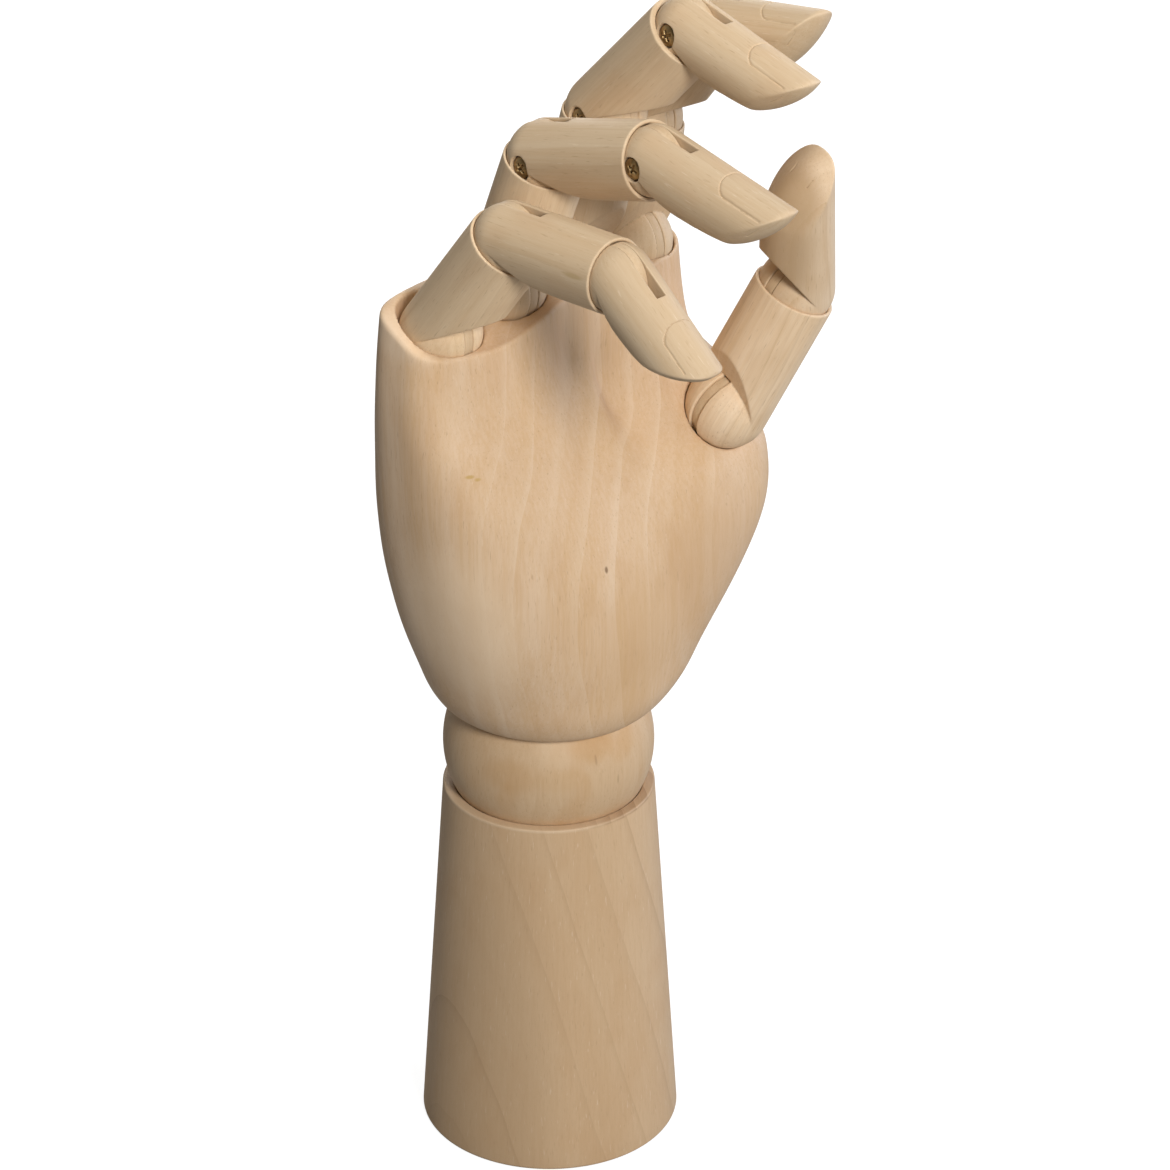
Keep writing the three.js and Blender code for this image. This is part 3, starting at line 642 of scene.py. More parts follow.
def woodMaterial(piece, grain, look, endLevel=None):
    material, bench, shader = newMaterial(piece + "_wood")
    place = bench.wire("ShaderNodeTexCoord", None, None, "Object")
    turned = bench.wire("ShaderNodeMapping", {"vector_type": "TEXTURE"}, {
        "Vector": place,
        "Location": grain["place"],
        "Rotation": grain["turn"],
        "Scale": (0.001, 0.001, 0.001),
    })
    x, y, z = bench.split(turned)
    seed = grain["seed"]

    def noise(kind):
        across, along, axis, detail, rough = woodNoise[kind]
        places = [x * across, y * across, z * along]
        places[axis] = places[axis] + seed
        return bench.noise(bench.join(*places), 1.0, detail, rough)

    def mask(kind, value):
        return bench.step(value, *woodMask[kind])

    slow, quick = noise("slow") - 0.5, noise("quick") - 0.5
    reach = bench.far(x - grain["pith"][0], y - grain["pith"][1])
    bent = reach + slow * grain["sway"] + quick * woodRings["sway"] + z * grain["lean"]
    ringPlace = bent / grain["ring"]
    saw = bench.math("FRACT", ringPlace)
    uneven = bench.noise(bench.join(ringPlace, seed, z * woodRings["lineAlong"]), woodRings["lineScale"])
    lines = saw ** look["lineEdge"] * mask("lines", uneven)
    bandPlace = bench.join(ringPlace * woodRings["across"], seed * 2.0, z * woodRings["along"])
    bands = bench.noise(bandPlace, 1.0, rough=woodRings["rough"])
    streak = noise("streak")
    fine = noise("fine")
    masks = ("flecks", "ticks", "figure", "mottle")
    flecks, ticks, figure, mottle = [mask(kind, noise(kind)) for kind in masks]
    tone = mask("bands", bands) * woodTone["bands"] + saw * woodTone["saw"]
    tone = tone + mask("streak", streak) * woodTone["streak"] + mottle * woodTone["mottle"]
    colour = bench.blend(tone, look["pale"], look["mid"])
    colour = bench.blend(figure * look["figure"], colour, look["warm"])
    colour = bench.blend(lines * look["lineShare"], colour, look["line"])
    shade = mask("fine", fine) * woodTone["fine"] + flecks * look["flecks"]
    colour = bench.blend(shade, colour, look["dark"])
    colour = bench.blend(ticks * look["ticks"], colour, woodLook["tick"])
    if endLevel:
        cut = bench.math("FRACT", bent / endCut["hatch"]) * (1.0 - endCut["least"]) + endCut["least"]
        rim = bench.step(z, endLevel, endLevel + endCut["soft"])
        right = mask("right", x - y)
        # Painted light: the left of the rim made pale where it lies in shade
        colour = bench.blend(rim * (1.0 - right) * endCut["paintedLightShare"], colour, woodLook["wearAndHighlight"])
        colour = bench.blend(cut * rim * right * endCut["darkShare"], colour, look["dark"])
    for middles, halves, stainAndPaintedLight, share in woodMarks.get(piece, ()):
        sides = [(value - middle) / half for value, middle, half in zip((x, y, z), middles, halves)]
        inside = 1.0 - mask("stainAndPaintedLight", bench.far(*sides))
        colour = bench.blend(inside * share, colour, stainAndPaintedLight)
    edge = bench.wire("ShaderNodeAttribute", {"attribute_name": "edgeMark"}, None, "Fac")
    # Convex edges paler: wear, and a painted highlight along the rims
    colour = bench.blend(mask("wearAndHighlight", edge) * woodLook["wearAndHighlightShare"], colour, woodLook["wearAndHighlight"])
    # Creases darker: painted shade
    colour = bench.blend(mask("paintedShade", -edge) * woodLook["paintedShadeShare"], colour, woodLook["paintedShade"])
    layers = {"streak": streak, "fine": fine, "lines": lines, "flecks": flecks}
    rough = woodLook["rough"]
    for kind, share in woodRough.items():
        rough = rough + layers[kind] * share
    height = sum(layers[kind] * share for kind, share in woodHeight.items())
    normal = bench.wire("ShaderNodeBump", None, {
        "Strength": woodLook["bump"], "Distance": woodLook["bumpDistance"], "Height": height}, "Normal")
    bench.feed(shader, "Base Color", colour)
    bench.feed(shader, "Roughness", rough)
    bench.feed(shader, "Normal", normal)
    bench.feed(shader, "Specular IOR Level", woodLook["shine"])
    return material


def grainAlong(matrix, seed, pith, ring, sway=9.0, lean=0.0):
    turn = matrix.to_3x3().normalized().to_euler()
    return {"place": tuple(matrix.to_translation() * 0.001), "turn": tuple(turn),
            "seed": seed, "pith": pith, "ring": ring, "sway": sway, "lean": lean}


# Phalanges
phalanxShape = {
    "voxel": 0.27, "tipVoxel": 0.2, "margin": 1.0, "most": 60000, "edgeGain": 0.5,
    "rimSoft": 0.45, "edgeSoft": 0.35, "cutSoft": 0.245, "taper": 0.99,
    "pithReach": 46.0, "pithTurn": 2.399, "seed": 3.7, "seedStep": 5.3, "ring": 1.7, "ringStep": 0.5,
}


# Notch on the inside of the bend, slot for the tongue and sink for the screw
def cutHead(bench, solid, x, y, z, radius, side, lean):
    ball = bench.far(x, y, z) - (radius + fit["skin"])
    kept = y * bench.math("COSINE", lean) + z * bench.math("SINE", lean)
    solid = bench.most(solid, bench.least(-kept, ball), phalanxShape["edgeSoft"])
    turnedReach = bench.far(y, z)
    slotEnd = z - (fit["slotReach"] + (y - radius) * fit["slotSlope"])
    slot = bench.most(abs(x) - fit["slotHalf"], bench.least(slotEnd, turnedReach - radius))
    solid = bench.most(solid, -slot, phalanxShape["cutSoft"])
    seat = radius - (fit["screwRecess"] + fit["screwHeight"] + fit["seatGap"])
    sink = bench.most(turnedReach - (fit["screwHead"] + fit["seatGap"]), seat - x * side)
    return bench.most(solid, -sink, phalanxShape["cutSoft"])


# Every bone's tree takes the same sizes
def startBone(name):
    bench, given, place = newTree(name, {
        "Radius": 9.0, "Next radius": 8.5, "Length": 35.0, "Screw side": 1.0,
        "Notch": 0.5, "Nail width": 0.66, "Voxel": 0.4,
    })
    return bench, given, place, given["Radius"], given["Length"], given["Screw side"]


def closeBone(bench, given, solid, wide):
    margin = phalanxShape["margin"]
    edge = wide + margin
    low = (-edge, -edge, -given["Radius"] - margin)
    mesh = carveField(bench, given, solid, low, (edge, edge, given["Length"] + margin))
    return closeTree(bench, given, mesh)


def phalanxTree():
    bench, given, (x, y, z), radius, length, side = startBone("phalanxTree")
    hollow = given["Next radius"] + fit["cupGap"]
    end = length - fit["setback"]
    rim = bench.most(radius * phalanxShape["taper"], hollow + fit["rimWall"])
    low = bench.least(z, 0.0)
    high = bench.most(z, 0.0)
    solid = bench.far(x, y, low) - (radius + (rim - radius) * high / end)
    solid = bench.most(solid, z - end, phalanxShape["rimSoft"])
    solid = bench.most(solid, hollow - bench.far(x, y, z - length), phalanxShape["cutSoft"])
    solid = cutHead(bench, solid, x, y, z, radius, side, given["Notch"])
    foot = length - given["Next radius"] - fit["jointGap"] - (fit["tongueDepth"] + fit["seatGap"])
    wide = abs(x) - fit["slotHalf"]
    deep = abs(y) - (fit["tongueHalf"] + fit["seatGap"])
    solid = bench.most(solid, -bench.most(bench.most(wide, deep), foot - z))
    return closeBone(bench, given, solid, bench.most(radius, rim))


def fingertipTree():
    bench, given, (x, y, z), radius, length, side = startBone("fingertipTree")
    shape = tipShape
    low = bench.least(z, 0.0)
    high = bench.most(z, 0.0)
    here = radius * (1.0 - (1.0 - shape["taper"]) * high / length)
    body = bench.far(x, y, low) - here
    start = length - radius * shape["bevel"]
    climb = bench.most((z - start) / (length - start), 0.0)
    floor = radius * (climb ** shape["curve"] * (1.0 + shape["edge"]) - 1.0)
    half = bench.root(bench.most(here * here - floor * floor, shape["halfLeast"]))
    swell = bench.least(half * shape["dome"], (here + floor) * shape["domeShare"], shape["domeSoft"])
    dome = swell * bench.most(1.0 - (x / half) ** 2.0, -1.0)
    begin = start + (length - start) * shape["padStart"]
    lead = bench.most(begin - z, 0.0) * shape["padLead"]
    pad = (floor - dome - y) * shape["padSlope"] - lead
    solid = bench.most(body, pad, shape["padSoft"])
    solid = bench.most(solid, z - length, shape["endSoft"])
    solid = cutHead(bench, solid, x, y, z, radius, side, given["Notch"])
    nailHalf = radius * given["Nail width"]
    corner = nailHalf * shape["nailCorner"]
    back = length * shape["nailStart"]
    acrossNail = bench.most(abs(x) - (nailHalf - corner), 0.0)
    alongNail = bench.most(back + corner - z, 0.0)
    nail = bench.far(acrossNail, alongNail) - corner
    line = abs(nail) - shape["lineWidth"] / 2
    groove = bench.most(bench.most(line, z - (length - shape["nailEnd"])), -y)
    solid = bench.most(solid, bench.least(-groove, solid + shape["lineDepth"]))
    return closeBone(bench, given, solid, radius)


def buildBones():
    shape = phalanxShape
    trees = {False: phalanxTree(), True: fingertipTree()}
    made = 0
    for i, bone in enumerate(bones):
        tip = bone["next"] is None
        angle = i * shape["pithTurn"]
        pith = (shape["pithReach"] * math.cos(angle), shape["pithReach"] * math.sin(angle))
        ring = shape["ring"] + shape["ringStep"] * (i % 3)
        grain = grainAlong(bone["frame"], shape["seed"] + i * shape["seedStep"], pith, ring)
        look = dict(woodLook["thumb" if bone["bone"].startswith("thumb") else "finger"])
        # Painted light and shade: each bone made paler or darker by its tint
        for key in ("pale", "mid"):
            look[key] = tuple(value * bone["tint"] for value in look[key])
        obj = runTree(bone["bone"], trees[tip], {
            "Radius": bone["radius"],
            "Next radius": bone["next"] or bone["radius"],
            "Length": bone["length"],
            "Screw side": float(bone["side"]),
            "Notch": math.radians(bone["notch"]),
            "Nail width": bone["nail"],
            "Voxel": shape["tipVoxel" if tip else "voxel"] * coarse,
            "Material": woodMaterial(bone["bone"], grain, look),
        }, bone["frame"])
        thin(obj, shape["most"])
        markEdges(obj, shape["edgeGain"])
        standFor(obj, bone["bone"], bone["bone"])
        made += len(obj.data.polygons)
    print("phalanges carved,", made, "faces")


buildBones()


# Palm: rounded sections up its height, the swelling under the thumb and the hollow in the middle
palmShape = {
    "voxel": 0.5,
    "most": 190000,
    "foot": 12.0,
    "top": 120.5,
    "topSoft": 1.9,
    "footSoft": 1.6,
    "socketSoft": 0.8,
    "rimSoft": 0.5,
    "frontFall": 4.4, "frontFallStart": 14.0, "frontFallEnd": 9.0,
    "littleFall": 5.0, "littleFallStart": 2.0, "littleFallEnd": 25.0, "fallStart": 68.0,
    "socketFlare": 1.15, "socketHeight": 30.0,
    "heights": (12.0, 15.5, 26.0, 47.0, 68.0, 88.0, 104.0, 120.5),
    "middle": (0.0, 0.0, 0.2, 0.7, 1.4, 2.4, 3.0, 3.1),
    "left": (23.4, 27.1, 31.9, 38.8, 42.8, 44.1, 44.0, 42.4),
    "right": (23.9, 29.2, 34.6, 40.8, 43.6, 43.4, 42.2, 41.2),
    "front": (23.9, 27.3, 29.2, 30.0, 26.8, 21.0, 15.6, 12.8),
    "back": (23.9, 25.8, 26.4, 25.0, 22.0, 18.4, 15.1, 12.9),
    "squareFront": (2.0, 2.1, 2.2, 2.4, 2.6, 2.8, 2.8, 2.8),
    "squareBack": (2.0, 2.1, 2.3, 2.7, 3.0, 3.1, 3.4, 4.0),
    "swellings": (
        {"toward": -33.0, "level": 70.0, "spread": 22.0, "below": 38.0, "above": 13.4, "amount": 14.6},
        {"toward": -100.0, "level": 96.0, "spread": 26.0, "below": 26.0, "above": 26.0, "amount": -4.0},
        {"toward": -50.0, "level": 90.0, "spread": 22.0, "below": 16.0, "above": 18.0, "amount": -9.4},
        {"toward": -6.0, "level": 83.4, "spread": 17.0, "below": 12.5, "above": 9.4, "amount": 7.4},
    ),
    "boreTop": 36.2,
    "eyeHole": 1.2,
    "eyeHoleTop": 48.2,
    "boxLow": (-47.0, -42.0, 9.0), "boxHigh": (58.0, 34.0, 124.0),
    "edgeGain": 1.0,
    "grain": {"seed": 41.0, "pith": (-62.0, 66.0), "ring": 6.2, "sway": 10.0, "lean": 0.02},
}


def tableCurve(bench, share, key):
    heights = palmShape["heights"]
    span = heights[-1] - heights[0]
    full = 50.0
    points = [((h - heights[0]) / span, v / full) for h, v in zip(heights, palmShape[key])]
    return bench.wire("ShaderNodeFloatCurve", {"points": points}, {"Value": share}) * full


def toLocal(bench, x, y, z, matrix):
    origin = matrix.to_translation()
    dx, dy, dz = x - origin.x, y - origin.y, z - origin.z
    turn = matrix.to_3x3()
    return [dx * turn[0][k] + dy * turn[1][k] + dz * turn[2][k] for k in range(3)]


# Space that a root takes out of the palm: ball hollow, cup that opens upward and tongue slot
def rootSpace(bench, x, y, z, matrix, seat, radius):
    qx, qy, qz = toLocal(bench, x, y, z, matrix)
    hollow = radius + fit["cupGap"]
    cup = radius + fit["rootClearance"]
    above = -fit["setback"] - qz
    slope = cup * (palmShape["socketFlare"] - 1.0) / palmShape["socketHeight"]
    flare = cup + (qz + fit["setback"]) * slope
    space = bench.least(bench.far(qx, qy, qz) - hollow, bench.most(bench.far(qx, qy) - flare, above))
    sx, sy, sz = toLocal(bench, x, y, z, matrix @ seat)
    slot = bench.most(abs(sx) - fit["slotHalf"], abs(sy) - (fit["tongueHalf"] + fit["seatGap"]))
    foot = -(radius + fit["jointGap"] + fit["tongueDepth"] + fit["seatGap"])
    return bench.least(space, bench.most(bench.most(slot, foot - sz), sz))


def palmTree():
    shape = palmShape
    bench, given, (x, y, z) = newTree("palmTree", {"Voxel": 0.8})
    forward = bench.step(-y, -shape["frontFallStart"], shape["frontFallEnd"])
    little = bench.step(-x, shape["littleFallStart"], shape["littleFallEnd"])
    upper = bench.step(z, shape["fallStart"], shape["top"])
    height = z + forward * upper * (little * shape["littleFall"] + shape["frontFall"])
    share = (height - shape["foot"]) / (shape["top"] - shape["foot"])
    deepY = y - tableCurve(bench, share, "middle")
    isBack = bench.math("GREATER_THAN", deepY, 0.0)
    isRight = bench.math("GREATER_THAN", x, 0.0)
    sides = ("left", "right", "front", "back", "squareFront", "squareBack")
    left, right, front, back, squareFront, squareBack = [tableCurve(bench, share, key) for key in sides]
    wide = left + (right - left) * isRight
    deep = front + (back - front) * isBack
    square = squareFront + (squareBack - squareFront) * isBack
    reachHere = bench.most(bench.far(x, deepY), 0.001)
    bulk = (abs(x) / reachHere / wide) ** square + (abs(deepY) / reachHere / deep) ** square
    reach = bulk ** (-1.0 / square)
    angle = bench.math("ARCTAN2", deepY, x) * (180.0 / math.pi)
    for swell in shape["swellings"]:
        turn = bench.math("WRAP", angle - swell["toward"], 180.0, -180.0) / swell["spread"]
        isAbove = bench.math("GREATER_THAN", height, swell["level"])
        tall = swell["below"] + isAbove * (swell["above"] - swell["below"])
        rise = (height - swell["level"]) / tall
        reach = reach + bench.math("EXPONENT", -(turn * turn + rise * rise)) * swell["amount"]
    solid = bench.most(reachHere - reach, height - shape["top"], shape["topSoft"])
    solid = bench.most(solid, shape["foot"] - z, shape["footSoft"])
    solid = bench.most(solid, socketRadius - bench.far(x, y, z), shape["socketSoft"])
    bore = bench.most(bench.far(x, y) - wrist["bore"], z - shape["boreTop"])
    solid = bench.most(solid, -bore)
    eyeHole = bench.most(bench.far(x, y) - shape["eyeHole"], z - shape["eyeHoleTop"])
    solid = bench.most(solid, -eyeHole)
    for name, sizes in {**fingers, "thumb": thumb}.items():
        seat = thumbSeat if name == "thumb" else fingerSeat
        space = rootSpace(bench, x, y, z, roots[name], seat, sizes["radius"][0])
        solid = bench.most(solid, -space, shape["rimSoft"])
    mesh = carveField(bench, given, solid, shape["boxLow"], shape["boxHigh"])
    return closeTree(bench, given, mesh)


def buildPalm():
    grain = grainAlong(wristPlace, **palmShape["grain"])
    material = woodMaterial("palm", grain, woodLook["palm"])
    sizes = {"Voxel": palmShape["voxel"] * coarse, "Material": material}
    obj = runTree("palm", palmTree(), sizes, wristPlace)
    thin(obj, palmShape["most"])
    markEdges(obj, palmShape["edgeGain"])
    standFor(obj, "palm", "palm")
    print("palm carved,", len(obj.data.polygons), "faces")


buildPalm()


# Turned pieces: forearm and wrist ball
turnedShape = {
    "steps": 144, "roundSteps": 6, "socketSteps": 24, "ballSteps": 64, "boreSteps": 6, "wallStep": 6.0,
    "holeRound": 0.6, "lipRound": 0.3, "edgeGain": 0.5,
    "forearmGrain": {"seed": 77.0, "pith": (-68.0, 16.0), "ring": 10.5, "sway": 6.0, "lean": 0.265},
    "ballGrain": {"seed": 15.0, "pith": (30.0, -26.0), "ring": 5.0, "sway": 10.0},
}


def arcPoints(radius, height, start, end, count):
    points = []
    for i in range(count + 1):
        angle = math.radians(start + (end - start) * i / count)
        points.append((radius * math.cos(angle), height + radius * math.sin(angle)))
    return points


def lathe(name, profile, place, material):
    shaped = bmesh.new()
    rings = []
    for k in range(turnedShape["steps"]):
        turn = 2 * math.pi * k / turnedShape["steps"]
        rings.append([shaped.verts.new((r * math.cos(turn), r * math.sin(turn), h)) for r, h in profile])
    skinRings(shaped, rings, True)
    return pieceFrom(shaped, name, material, place)


# Extra rings beside each corner keep the flats flat and the corners tight
def rounded(corners, rounds, count):
    points = []
    total = len(corners)
    for i, (corner, size) in enumerate(zip(corners, rounds)):
        here = Vector(corner)
        before = (Vector(corners[i - 1]) - here).normalized()
        after = (Vector(corners[(i + 1) % total]) - here).normalized()
        for k in range(count + 1):
            t = k / count
            a, b = here + before * size * (1 - t), here + after * size * t
            points.append(tuple(a.lerp(b, t)))
    return points


def buildForearm():
    shape = turnedShape
    lip = -math.degrees(math.asin(wrist["ballRise"] / socketRadius))
    low = -math.degrees(math.acos(wrist["flare"] / socketRadius))
    socket = arcPoints(socketRadius, ballHeight, lip, low, shape["socketSteps"])
    topRadius = math.sqrt(socketRadius ** 2 - wrist["ballRise"] ** 2) + wrist["rimWidth"]
    hole, bore, depth = wrist["counterbore"], wrist["bore"], wrist["counterboreDepth"]
    corners = [(hole, 0.0), (wrist["baseRadius"], 0.0), (topRadius, wrist["forearmHeight"]), socket[0]]
    rounds = (shape["holeRound"], wrist["baseRound"], wrist["rimRound"], shape["lipRound"])
    outer = rounded(corners, rounds, shape["roundSteps"])
    profile = outer + socket[1:] + [(bore, wrist["flareFoot"]), (bore, depth), (hole, depth)]
    wall = []
    for a, b in zip(profile, profile[1:] + profile[:1]):
        wall.append(a)
        pieces = int(math.dist(a, b) // shape["wallStep"])
        wall += [tuple(Vector(a).lerp(Vector(b), (k + 1) / (pieces + 1))) for k in range(pieces)]
    grain = grainAlong(Matrix.Identity(4), **shape["forearmGrain"])
    endLevel = wrist["forearmHeight"] - endCut["below"]
    material = woodMaterial("forearm", grain, woodLook["forearm"], endLevel)
    obj = lathe("forearm", wall, Matrix.Identity(4), material)
    markEdges(obj, shape["edgeGain"])
    standFor(obj, "forearm_base", "forearm")
    print("forearm turned,", len(obj.data.polygons), "faces")


def buildBall():
    shape = turnedShape
    size = wrist["ballRadius"] + wrist["ballGrow"]
    limit = math.degrees(math.acos(wrist["flare"] / size))
    outside = arcPoints(size, 0.0, -limit, limit, shape["ballSteps"])
    count = shape["boreSteps"]
    bore = [(wrist["bore"], wrist["ballFlare"] * (1 - 2 * k / count)) for k in range(count + 1)]
    grain = grainAlong(wristPlace, **shape["ballGrain"])
    material = woodMaterial("ball", grain, woodLook["ball"])
    obj = lathe("wrist_ball", outside + bore, wristPlace, material)
    markEdges(obj, shape["edgeGain"])
    standFor(obj, "wrist_ball", "wrist_ball")
    print("ball turned,", len(obj.data.polygons), "faces")


buildForearm()
buildBall()


# Tongues: flat plates with a round end that sit in the slots
tongueShape = {
    "arcs": 36, "thick": 2.4, "bevel": 0.15, "bevelAbove": 1.2, "sharp": 40.0,
    "seed": 120.0, "seedStep": 3.1, "pith": (14.0, 9.0), "ring": 1.3,
}


def buildTongues():
    shape = tongueShape
    thick, half = shape["thick"], fit["tongueHalf"]
    for i, bone in enumerate(bones):
        outer = bone["radius"] - bone["recess"]
        foot = -(bone["radius"] + fit["jointGap"] + fit["tongueDepth"])
        shoulder = math.degrees(math.acos(half / outer))
        arc = arcPoints(outer, 0.0, -shoulder, 180.0 + shoulder, shape["arcs"])
        shaped = bmesh.new()
        sheet = [shaped.verts.new((-thick / 2, u, v)) for u, v in [(-half, foot), (half, foot), *arc]]
        face = shaped.faces.new(sheet)
        grown = bmesh.ops.extrude_face_region(shaped, geom=[face])["geom"]
        moved = [item for item in grown if isinstance(item, bmesh.types.BMVert)]
        bmesh.ops.translate(shaped, verts=moved, vec=(thick, 0.0, 0.0))
        bmesh.ops.recalc_face_normals(shaped, faces=shaped.faces)
        rim = [edge for edge in shaped.edges if abs(edge.calc_face_angle(0.0)) > shape["bevelAbove"]]
        bmesh.ops.bevel(shaped, geom=rim, offset=shape["bevel"], segments=2, profile=0.5, affect="EDGES")
        seed = shape["seed"] + i * shape["seedStep"]
        grain = grainAlong(bone["tongueFrame"], seed, shape["pith"], shape["ring"])
        material = woodMaterial(bone["tongue"], grain, woodLook["finger"])
        obj = pieceFrom(shaped, bone["tongue"], material, bone["tongueFrame"], shape["sharp"])
        standFor(obj, bone["tongue"], bone["tongueBody"])
    print("tongues cut,", len(bones))


buildTongues()


# Screws: domed heads with a cross recess
screwShape = {
    "voxel": 0.11, "margin": 0.4, "shank": 1.2, "share": 0.75, "dome": 0.55, "rimSoft": 0.4,
    "crossLong": 1.42, "crossWide": 0.36, "crossDeep": 0.95, "crossTaper": 0.35, "wideTaper": 0.4,
    "crossSoft": 0.3, "cutSoft": 0.25, "turn": 0.35, "turnStep": 0.83, "edgeGain": 0.16,
}
screwLook = {
    "bronze": (0.330, 0.215, 0.090), "gold": (0.480, 0.330, 0.150), "wearAndHighlight": (0.760, 0.580, 0.320),
    # Bronze; its pale edge colour is wear with a painted highlight, its near-black hollow colour is painted
    # shade
    "paintedRecessShade": (0.040, 0.024, 0.012), "cloud": (900.0, 3.0, 0.6), "scratch": (4200.0, 2.0, 0.6),
    "cloudMask": (0.35, 0.7), "wearAndHighlightMask": (0.1, 0.7), "paintedRecessShadeMask": (0.05, 0.6),
    "rough": 0.36, "cloudRough": 0.22, "recessRough": 0.2, "wornRough": -0.08,
    "bump": 0.2, "bumpDistance": 0.00005, "metal": 0.8,
}


def screwMaterial():
    look = screwLook
    material, bench, shader = newMaterial("bronzed_metal")
    place = bench.wire("ShaderNodeTexCoord", None, None, "Object")
    cloud = bench.noise(place, *look["cloud"])
    scratch = bench.noise(place, *look["scratch"])
    mark = bench.wire("ShaderNodeAttribute", {"attribute_name": "edgeMark"}, None, "Fac")
    # Convex edges brighter: wear and a painted highlight
    wearAndHighlight = bench.step(mark, *look["wearAndHighlightMask"]) * (0.5 + scratch * 0.5)
    # Hollows such as the cross recess nearly black: painted shade
    paintedRecessShade = bench.step(-mark, *look["paintedRecessShadeMask"])
    colour = bench.blend(bench.step(cloud, *look["cloudMask"]), look["bronze"], look["gold"])
    colour = bench.blend(wearAndHighlight, colour, look["wearAndHighlight"])
    colour = bench.blend(paintedRecessShade, colour, look["paintedRecessShade"])
    rough = look["rough"] + cloud * look["cloudRough"]
    rough = rough + paintedRecessShade * look["recessRough"] + wearAndHighlight * look["wornRough"]
    bump = bench.wire("ShaderNodeBump", None, {
        "Strength": look["bump"], "Distance": look["bumpDistance"], "Height": scratch}, "Normal")
    bench.feed(shader, "Base Color", colour)
    bench.feed(shader, "Roughness", rough)
    bench.feed(shader, "Normal", bump)
    bench.feed(shader, "Metallic", look["metal"])
    return material


def screwTree():
    shape = screwShape
    bench, given, (x, y, z) = newTree("screwTree", {
        "Reach": 9.0, "Head radius": 2.45, "Head height": 1.5, "Turn": 0.3, "Voxel": 0.11,
    })
    radius, height = given["Head radius"], given["Head height"]
    top = given["Reach"] - fit["screwRecess"]
    around = bench.far(x, y)
    crown = top - shape["dome"] * (around / radius) ** 2.0
    head = bench.most(around - radius, z - crown, shape["rimSoft"])
    head = bench.most(head, top - height - z)
    c = bench.math("COSINE", given["Turn"])
    s = bench.math("SINE", given["Turn"])
    u, v = x * c + y * s, y * c - x * s
    depth = top - z
    narrow = depth * shape["crossTaper"]
    arms = []
    for a, b in ((u, v), (v, u)):
        beside = abs(b) + narrow * shape["wideTaper"] - shape["crossWide"]
        arms.append(bench.most(abs(a) + narrow - shape["crossLong"], beside))
    cross = bench.most(bench.least(arms[0], arms[1], shape["crossSoft"]), depth - shape["crossDeep"])
    head = bench.most(head, -cross, shape["cutSoft"])
    shank = bench.most(around - shape["shank"], z - top + height * 0.5)
    tip = given["Reach"] * -shape["share"]
    shank = bench.most(shank, tip - z)
    solid = bench.least(head, shank)
    edge, margin = radius + shape["margin"], shape["margin"]
    mesh = carveField(bench, given, solid, (-edge, -edge, tip - margin), (edge, edge, top + margin))
    return closeTree(bench, given, mesh)


def buildScrews():
    shape = screwShape
    tree = screwTree()
    material = screwMaterial()
    for i, bone in enumerate(bones):
        place = bone["frame"] @ Matrix.Rotation(math.radians(90.0 * bone["side"]), 4, "Y")
        obj = runTree(bone["screw"], tree, {
            "Reach": bone["radius"],
            "Head radius": fit["screwHead"],
            "Head height": fit["screwHeight"],
            "Turn": shape["turn"] + shape["turnStep"] * i,
            "Voxel": shape["voxel"] * coarse,
            "Material": material,
        }, place)
        markEdges(obj, shape["edgeGain"])
        standFor(obj, bone["screw"], bone["bone"])
    print("screws made,", len(bones), "of", len(obj.data.polygons), "faces")


buildScrews()


# Spring through the wrist, the rod that it hooks on and the screwed eye above it, all out of sight
springShape = {
    "wire": 0.6, "turns": 10, "coil": 3.6, "lead": 9.0, "gap": 0.3, "swell": 0.06,
    "sides": 10, "stepsPerTurn": 28, "hookSteps": 24, "hookSweep": 255.0, "sharp": 50.0,
    "lowHook": 150.0, "lowLead": ((0.3, 1.5), (0.0, 2.4)), "lowBend": 44.0,
    "highHook": -45.0, "highLead": ((0.0, -2.6), (-0.3, -1.6)), "highBend": 31.0,
    "rod": 1.5, "rodReach": 9.29, "rodBevel": 0.25, "rodSides": 28,
    "eyeRise": 30.7, "eyeRing": 2.6, "eyeWire": 0.9, "eyeTop": 47.9, "eyePoint": 2.4, "eyeTip": 0.15,
    "eyeSteps": 40, "eyeSides": 16,
}
steelLook = {
    "bright": (0.50, 0.50, 0.49), "dull": (0.34, 0.33, 0.31), "cloud": (600.0, 3.0, 0.6),
    "cloudMask": (0.35, 0.7), "rough": 0.28, "cloudRough": 0.2,
}
rodHeight = wrist["counterboreDepth"] - springShape["gap"] - springShape["rod"]


def steelMaterial():
    look = steelLook
    material, bench, shader = newMaterial("spring_metal")
    place = bench.wire("ShaderNodeTexCoord", None, None, "Object")
    cloud = bench.noise(place, *look["cloud"])
    mask = bench.step(cloud, *look["cloudMask"])
    bench.feed(shader, "Base Color", bench.blend(mask, look["bright"], look["dull"]))
    bench.feed(shader, "Roughness", look["rough"] + cloud * look["cloudRough"])
    bench.feed(shader, "Metallic", 1.0)
    return material


# Round bar along a list of points, with its own radius at each, open ends capped
def tube(shaped, points, radii, sides, closed=False):
    count = len(points)
    across = (points[1] - points[0]).orthogonal().normalized()
    turns = [2 * math.pi * k / sides for k in range(sides)]
    rings = []
    for i, (point, radius) in enumerate(zip(points, radii)):
        before = points[i - 1] if i or closed else points[i]
        after = points[(i + 1) % count] if i + 1 < count or closed else points[i]
        along = (after - before).normalized()
        across = (across - along * across.dot(along)).normalized()
        beside = along.cross(across)
        spokes = [across * math.cos(t) + beside * math.sin(t) for t in turns]
        rings.append([shaped.verts.new(point + spoke * radius) for spoke in spokes])
    skinRings(shaped, rings, closed)
    if not closed:
        shaped.faces.new(rings[0][::-1])
        shaped.faces.new(rings[-1])


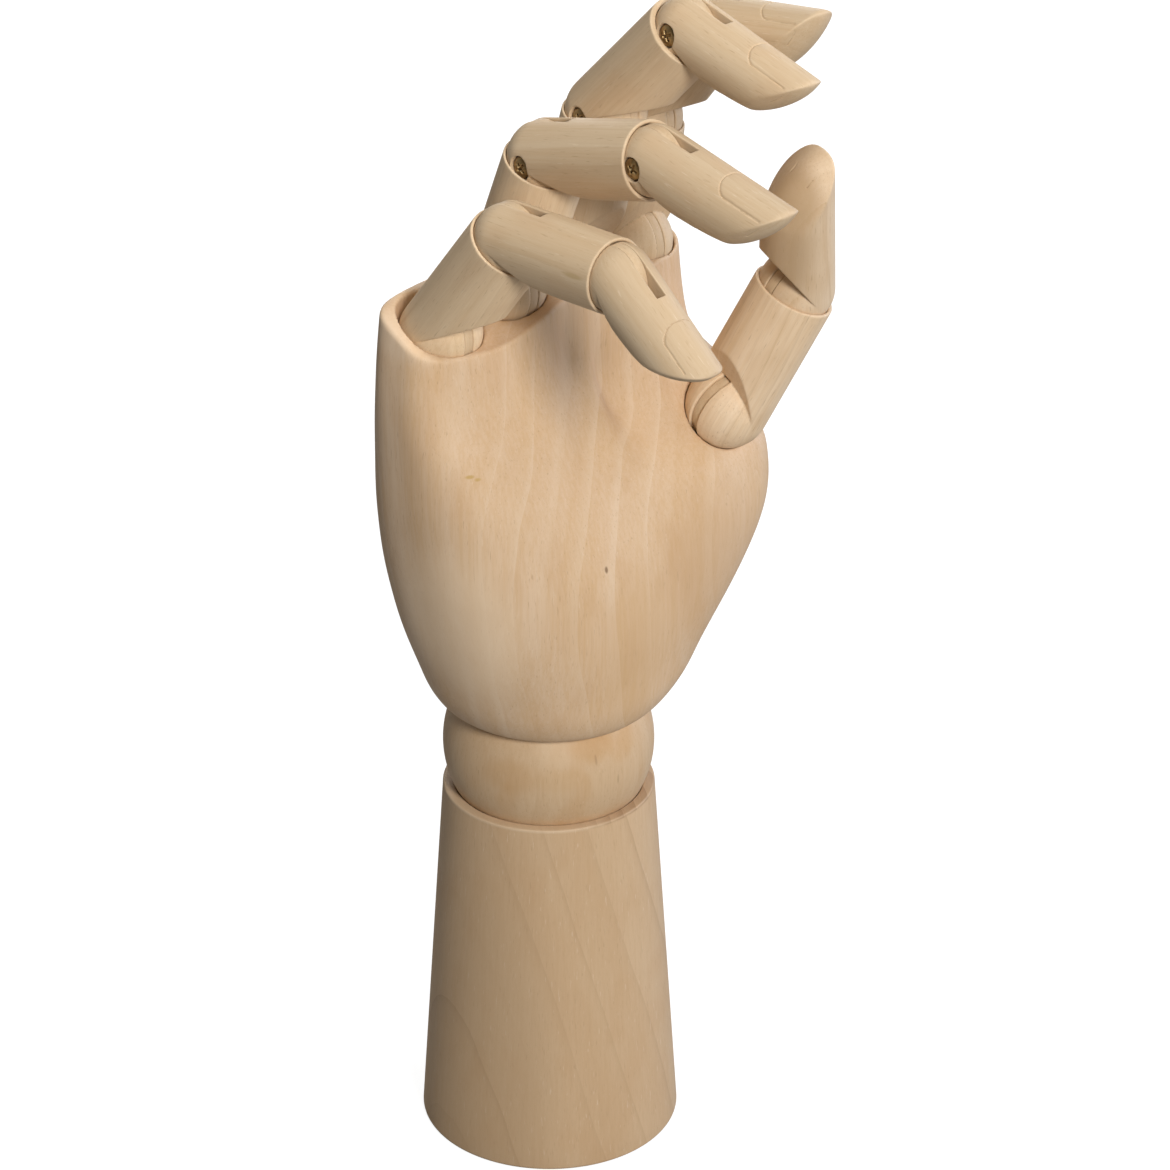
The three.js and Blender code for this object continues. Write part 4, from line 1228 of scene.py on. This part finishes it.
def easeIn(value):
    value = min(max(value, 0.0), 1.0)
    return value * value * (3.0 - 2.0 * value)


def hookPoints(reach, height, start):
    arc = arcPoints(reach, height, start, start + springShape["hookSweep"], springShape["hookSteps"])
    return [Vector((0.0, y, z)) for y, z in arc]


def leadPoints(reach, height, shares):
    return [Vector((0.0, reach * y, height + reach * z)) for y, z in shares]


# Way of the wire from the hook under the rod, up the coil, to the hook through the eye
def springRoute(eyeFoot):
    shape = springShape
    low = shape["rod"] + shape["wire"] + shape["gap"]
    high = shape["eyeWire"] + shape["wire"] + shape["gap"]
    coilFoot, coilHead = rodHeight + shape["lead"], eyeFoot - shape["lead"]
    points = hookPoints(low, rodHeight, shape["lowHook"]) + leadPoints(low, rodHeight, shape["lowLead"])
    steps = shape["turns"] * shape["stepsPerTurn"]
    for k in range(steps + 1):
        t = k / steps
        wide = shape["coil"] * easeIn(t / shape["swell"]) * easeIn((1.0 - t) / shape["swell"])
        angle = 2 * math.pi * shape["turns"] * t
        height = coilFoot + (coilHead - coilFoot) * t
        points.append(Vector((wide * math.cos(angle), wide * math.sin(angle), height)))
    points += leadPoints(high, eyeFoot, shape["highLead"])
    return points + hookPoints(high, eyeFoot, shape["highHook"])


# Two halves that meet at the centre of the ball
def buildSpring(material):
    shape = springShape
    points = springRoute(ballHeight + shape["eyeRise"] - shape["eyeRing"])
    split = min(range(len(points)), key=lambda i: abs(points[i].z - ballHeight))
    bendFoot, bendHead = ballHeight - shape["lowBend"], ballHeight + shape["highBend"]
    halves = (
        ("wrist_spring_low", points[:split + 1], "spring_swivel", "wrist_ball", bendFoot, ballHeight),
        ("wrist_spring_high", points[split:], "wrist_ball", "palm", ballHeight, bendHead),
    )
    for name, part, lowBody, highBody, start, end in halves:
        shaped = bmesh.new()
        tube(shaped, part, [shape["wire"]] * len(part), shape["sides"])
        obj = pieceFrom(shaped, name, material, sharp=shape["sharp"])
        start / 1000.0
        end / 1000.0
        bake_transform(obj)
        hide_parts("wrist_spring")


def buildAnchor(material):
    shape = springShape
    reach, bevel, rod = shape["rodReach"], shape["rodBevel"], shape["rod"]
    places = (-reach, bevel - reach, 0.0, reach - bevel, reach)
    radii = (rod - bevel, rod, rod, rod, rod - bevel)
    shaped = bmesh.new()
    tube(shaped, [Vector((place, 0.0, rodHeight)) for place in places], radii, shape["rodSides"])
    obj = pieceFrom(shaped, "anchor_rod", material, sharp=shape["sharp"])
    standFor(obj, "anchor_rod", "spring_swivel")
    middle, radius, wire = ballHeight + shape["eyeRise"], shape["eyeRing"], shape["eyeWire"]
    turns = [2 * math.pi * k / shape["eyeSteps"] for k in range(shape["eyeSteps"])]
    ring = [Vector((radius * math.cos(t), 0.0, middle + radius * math.sin(t))) for t in turns]
    shaped = bmesh.new()
    tube(shaped, ring, [wire] * len(ring), shape["eyeSides"], True)
    top = ballHeight + shape["eyeTop"]
    shank = [Vector((0.0, 0.0, height)) for height in (middle + radius, top - shape["eyePoint"], top)]
    tube(shaped, shank, (wire, wire, shape["eyeTip"]), shape["eyeSides"])
    obj = pieceFrom(shaped, "spring_eye", material, sharp=shape["sharp"])
    standFor(obj, "spring_eye", "palm")
    print("spring, rod and eye made")


steel = steelMaterial()
buildSpring(steel)
buildAnchor(steel)
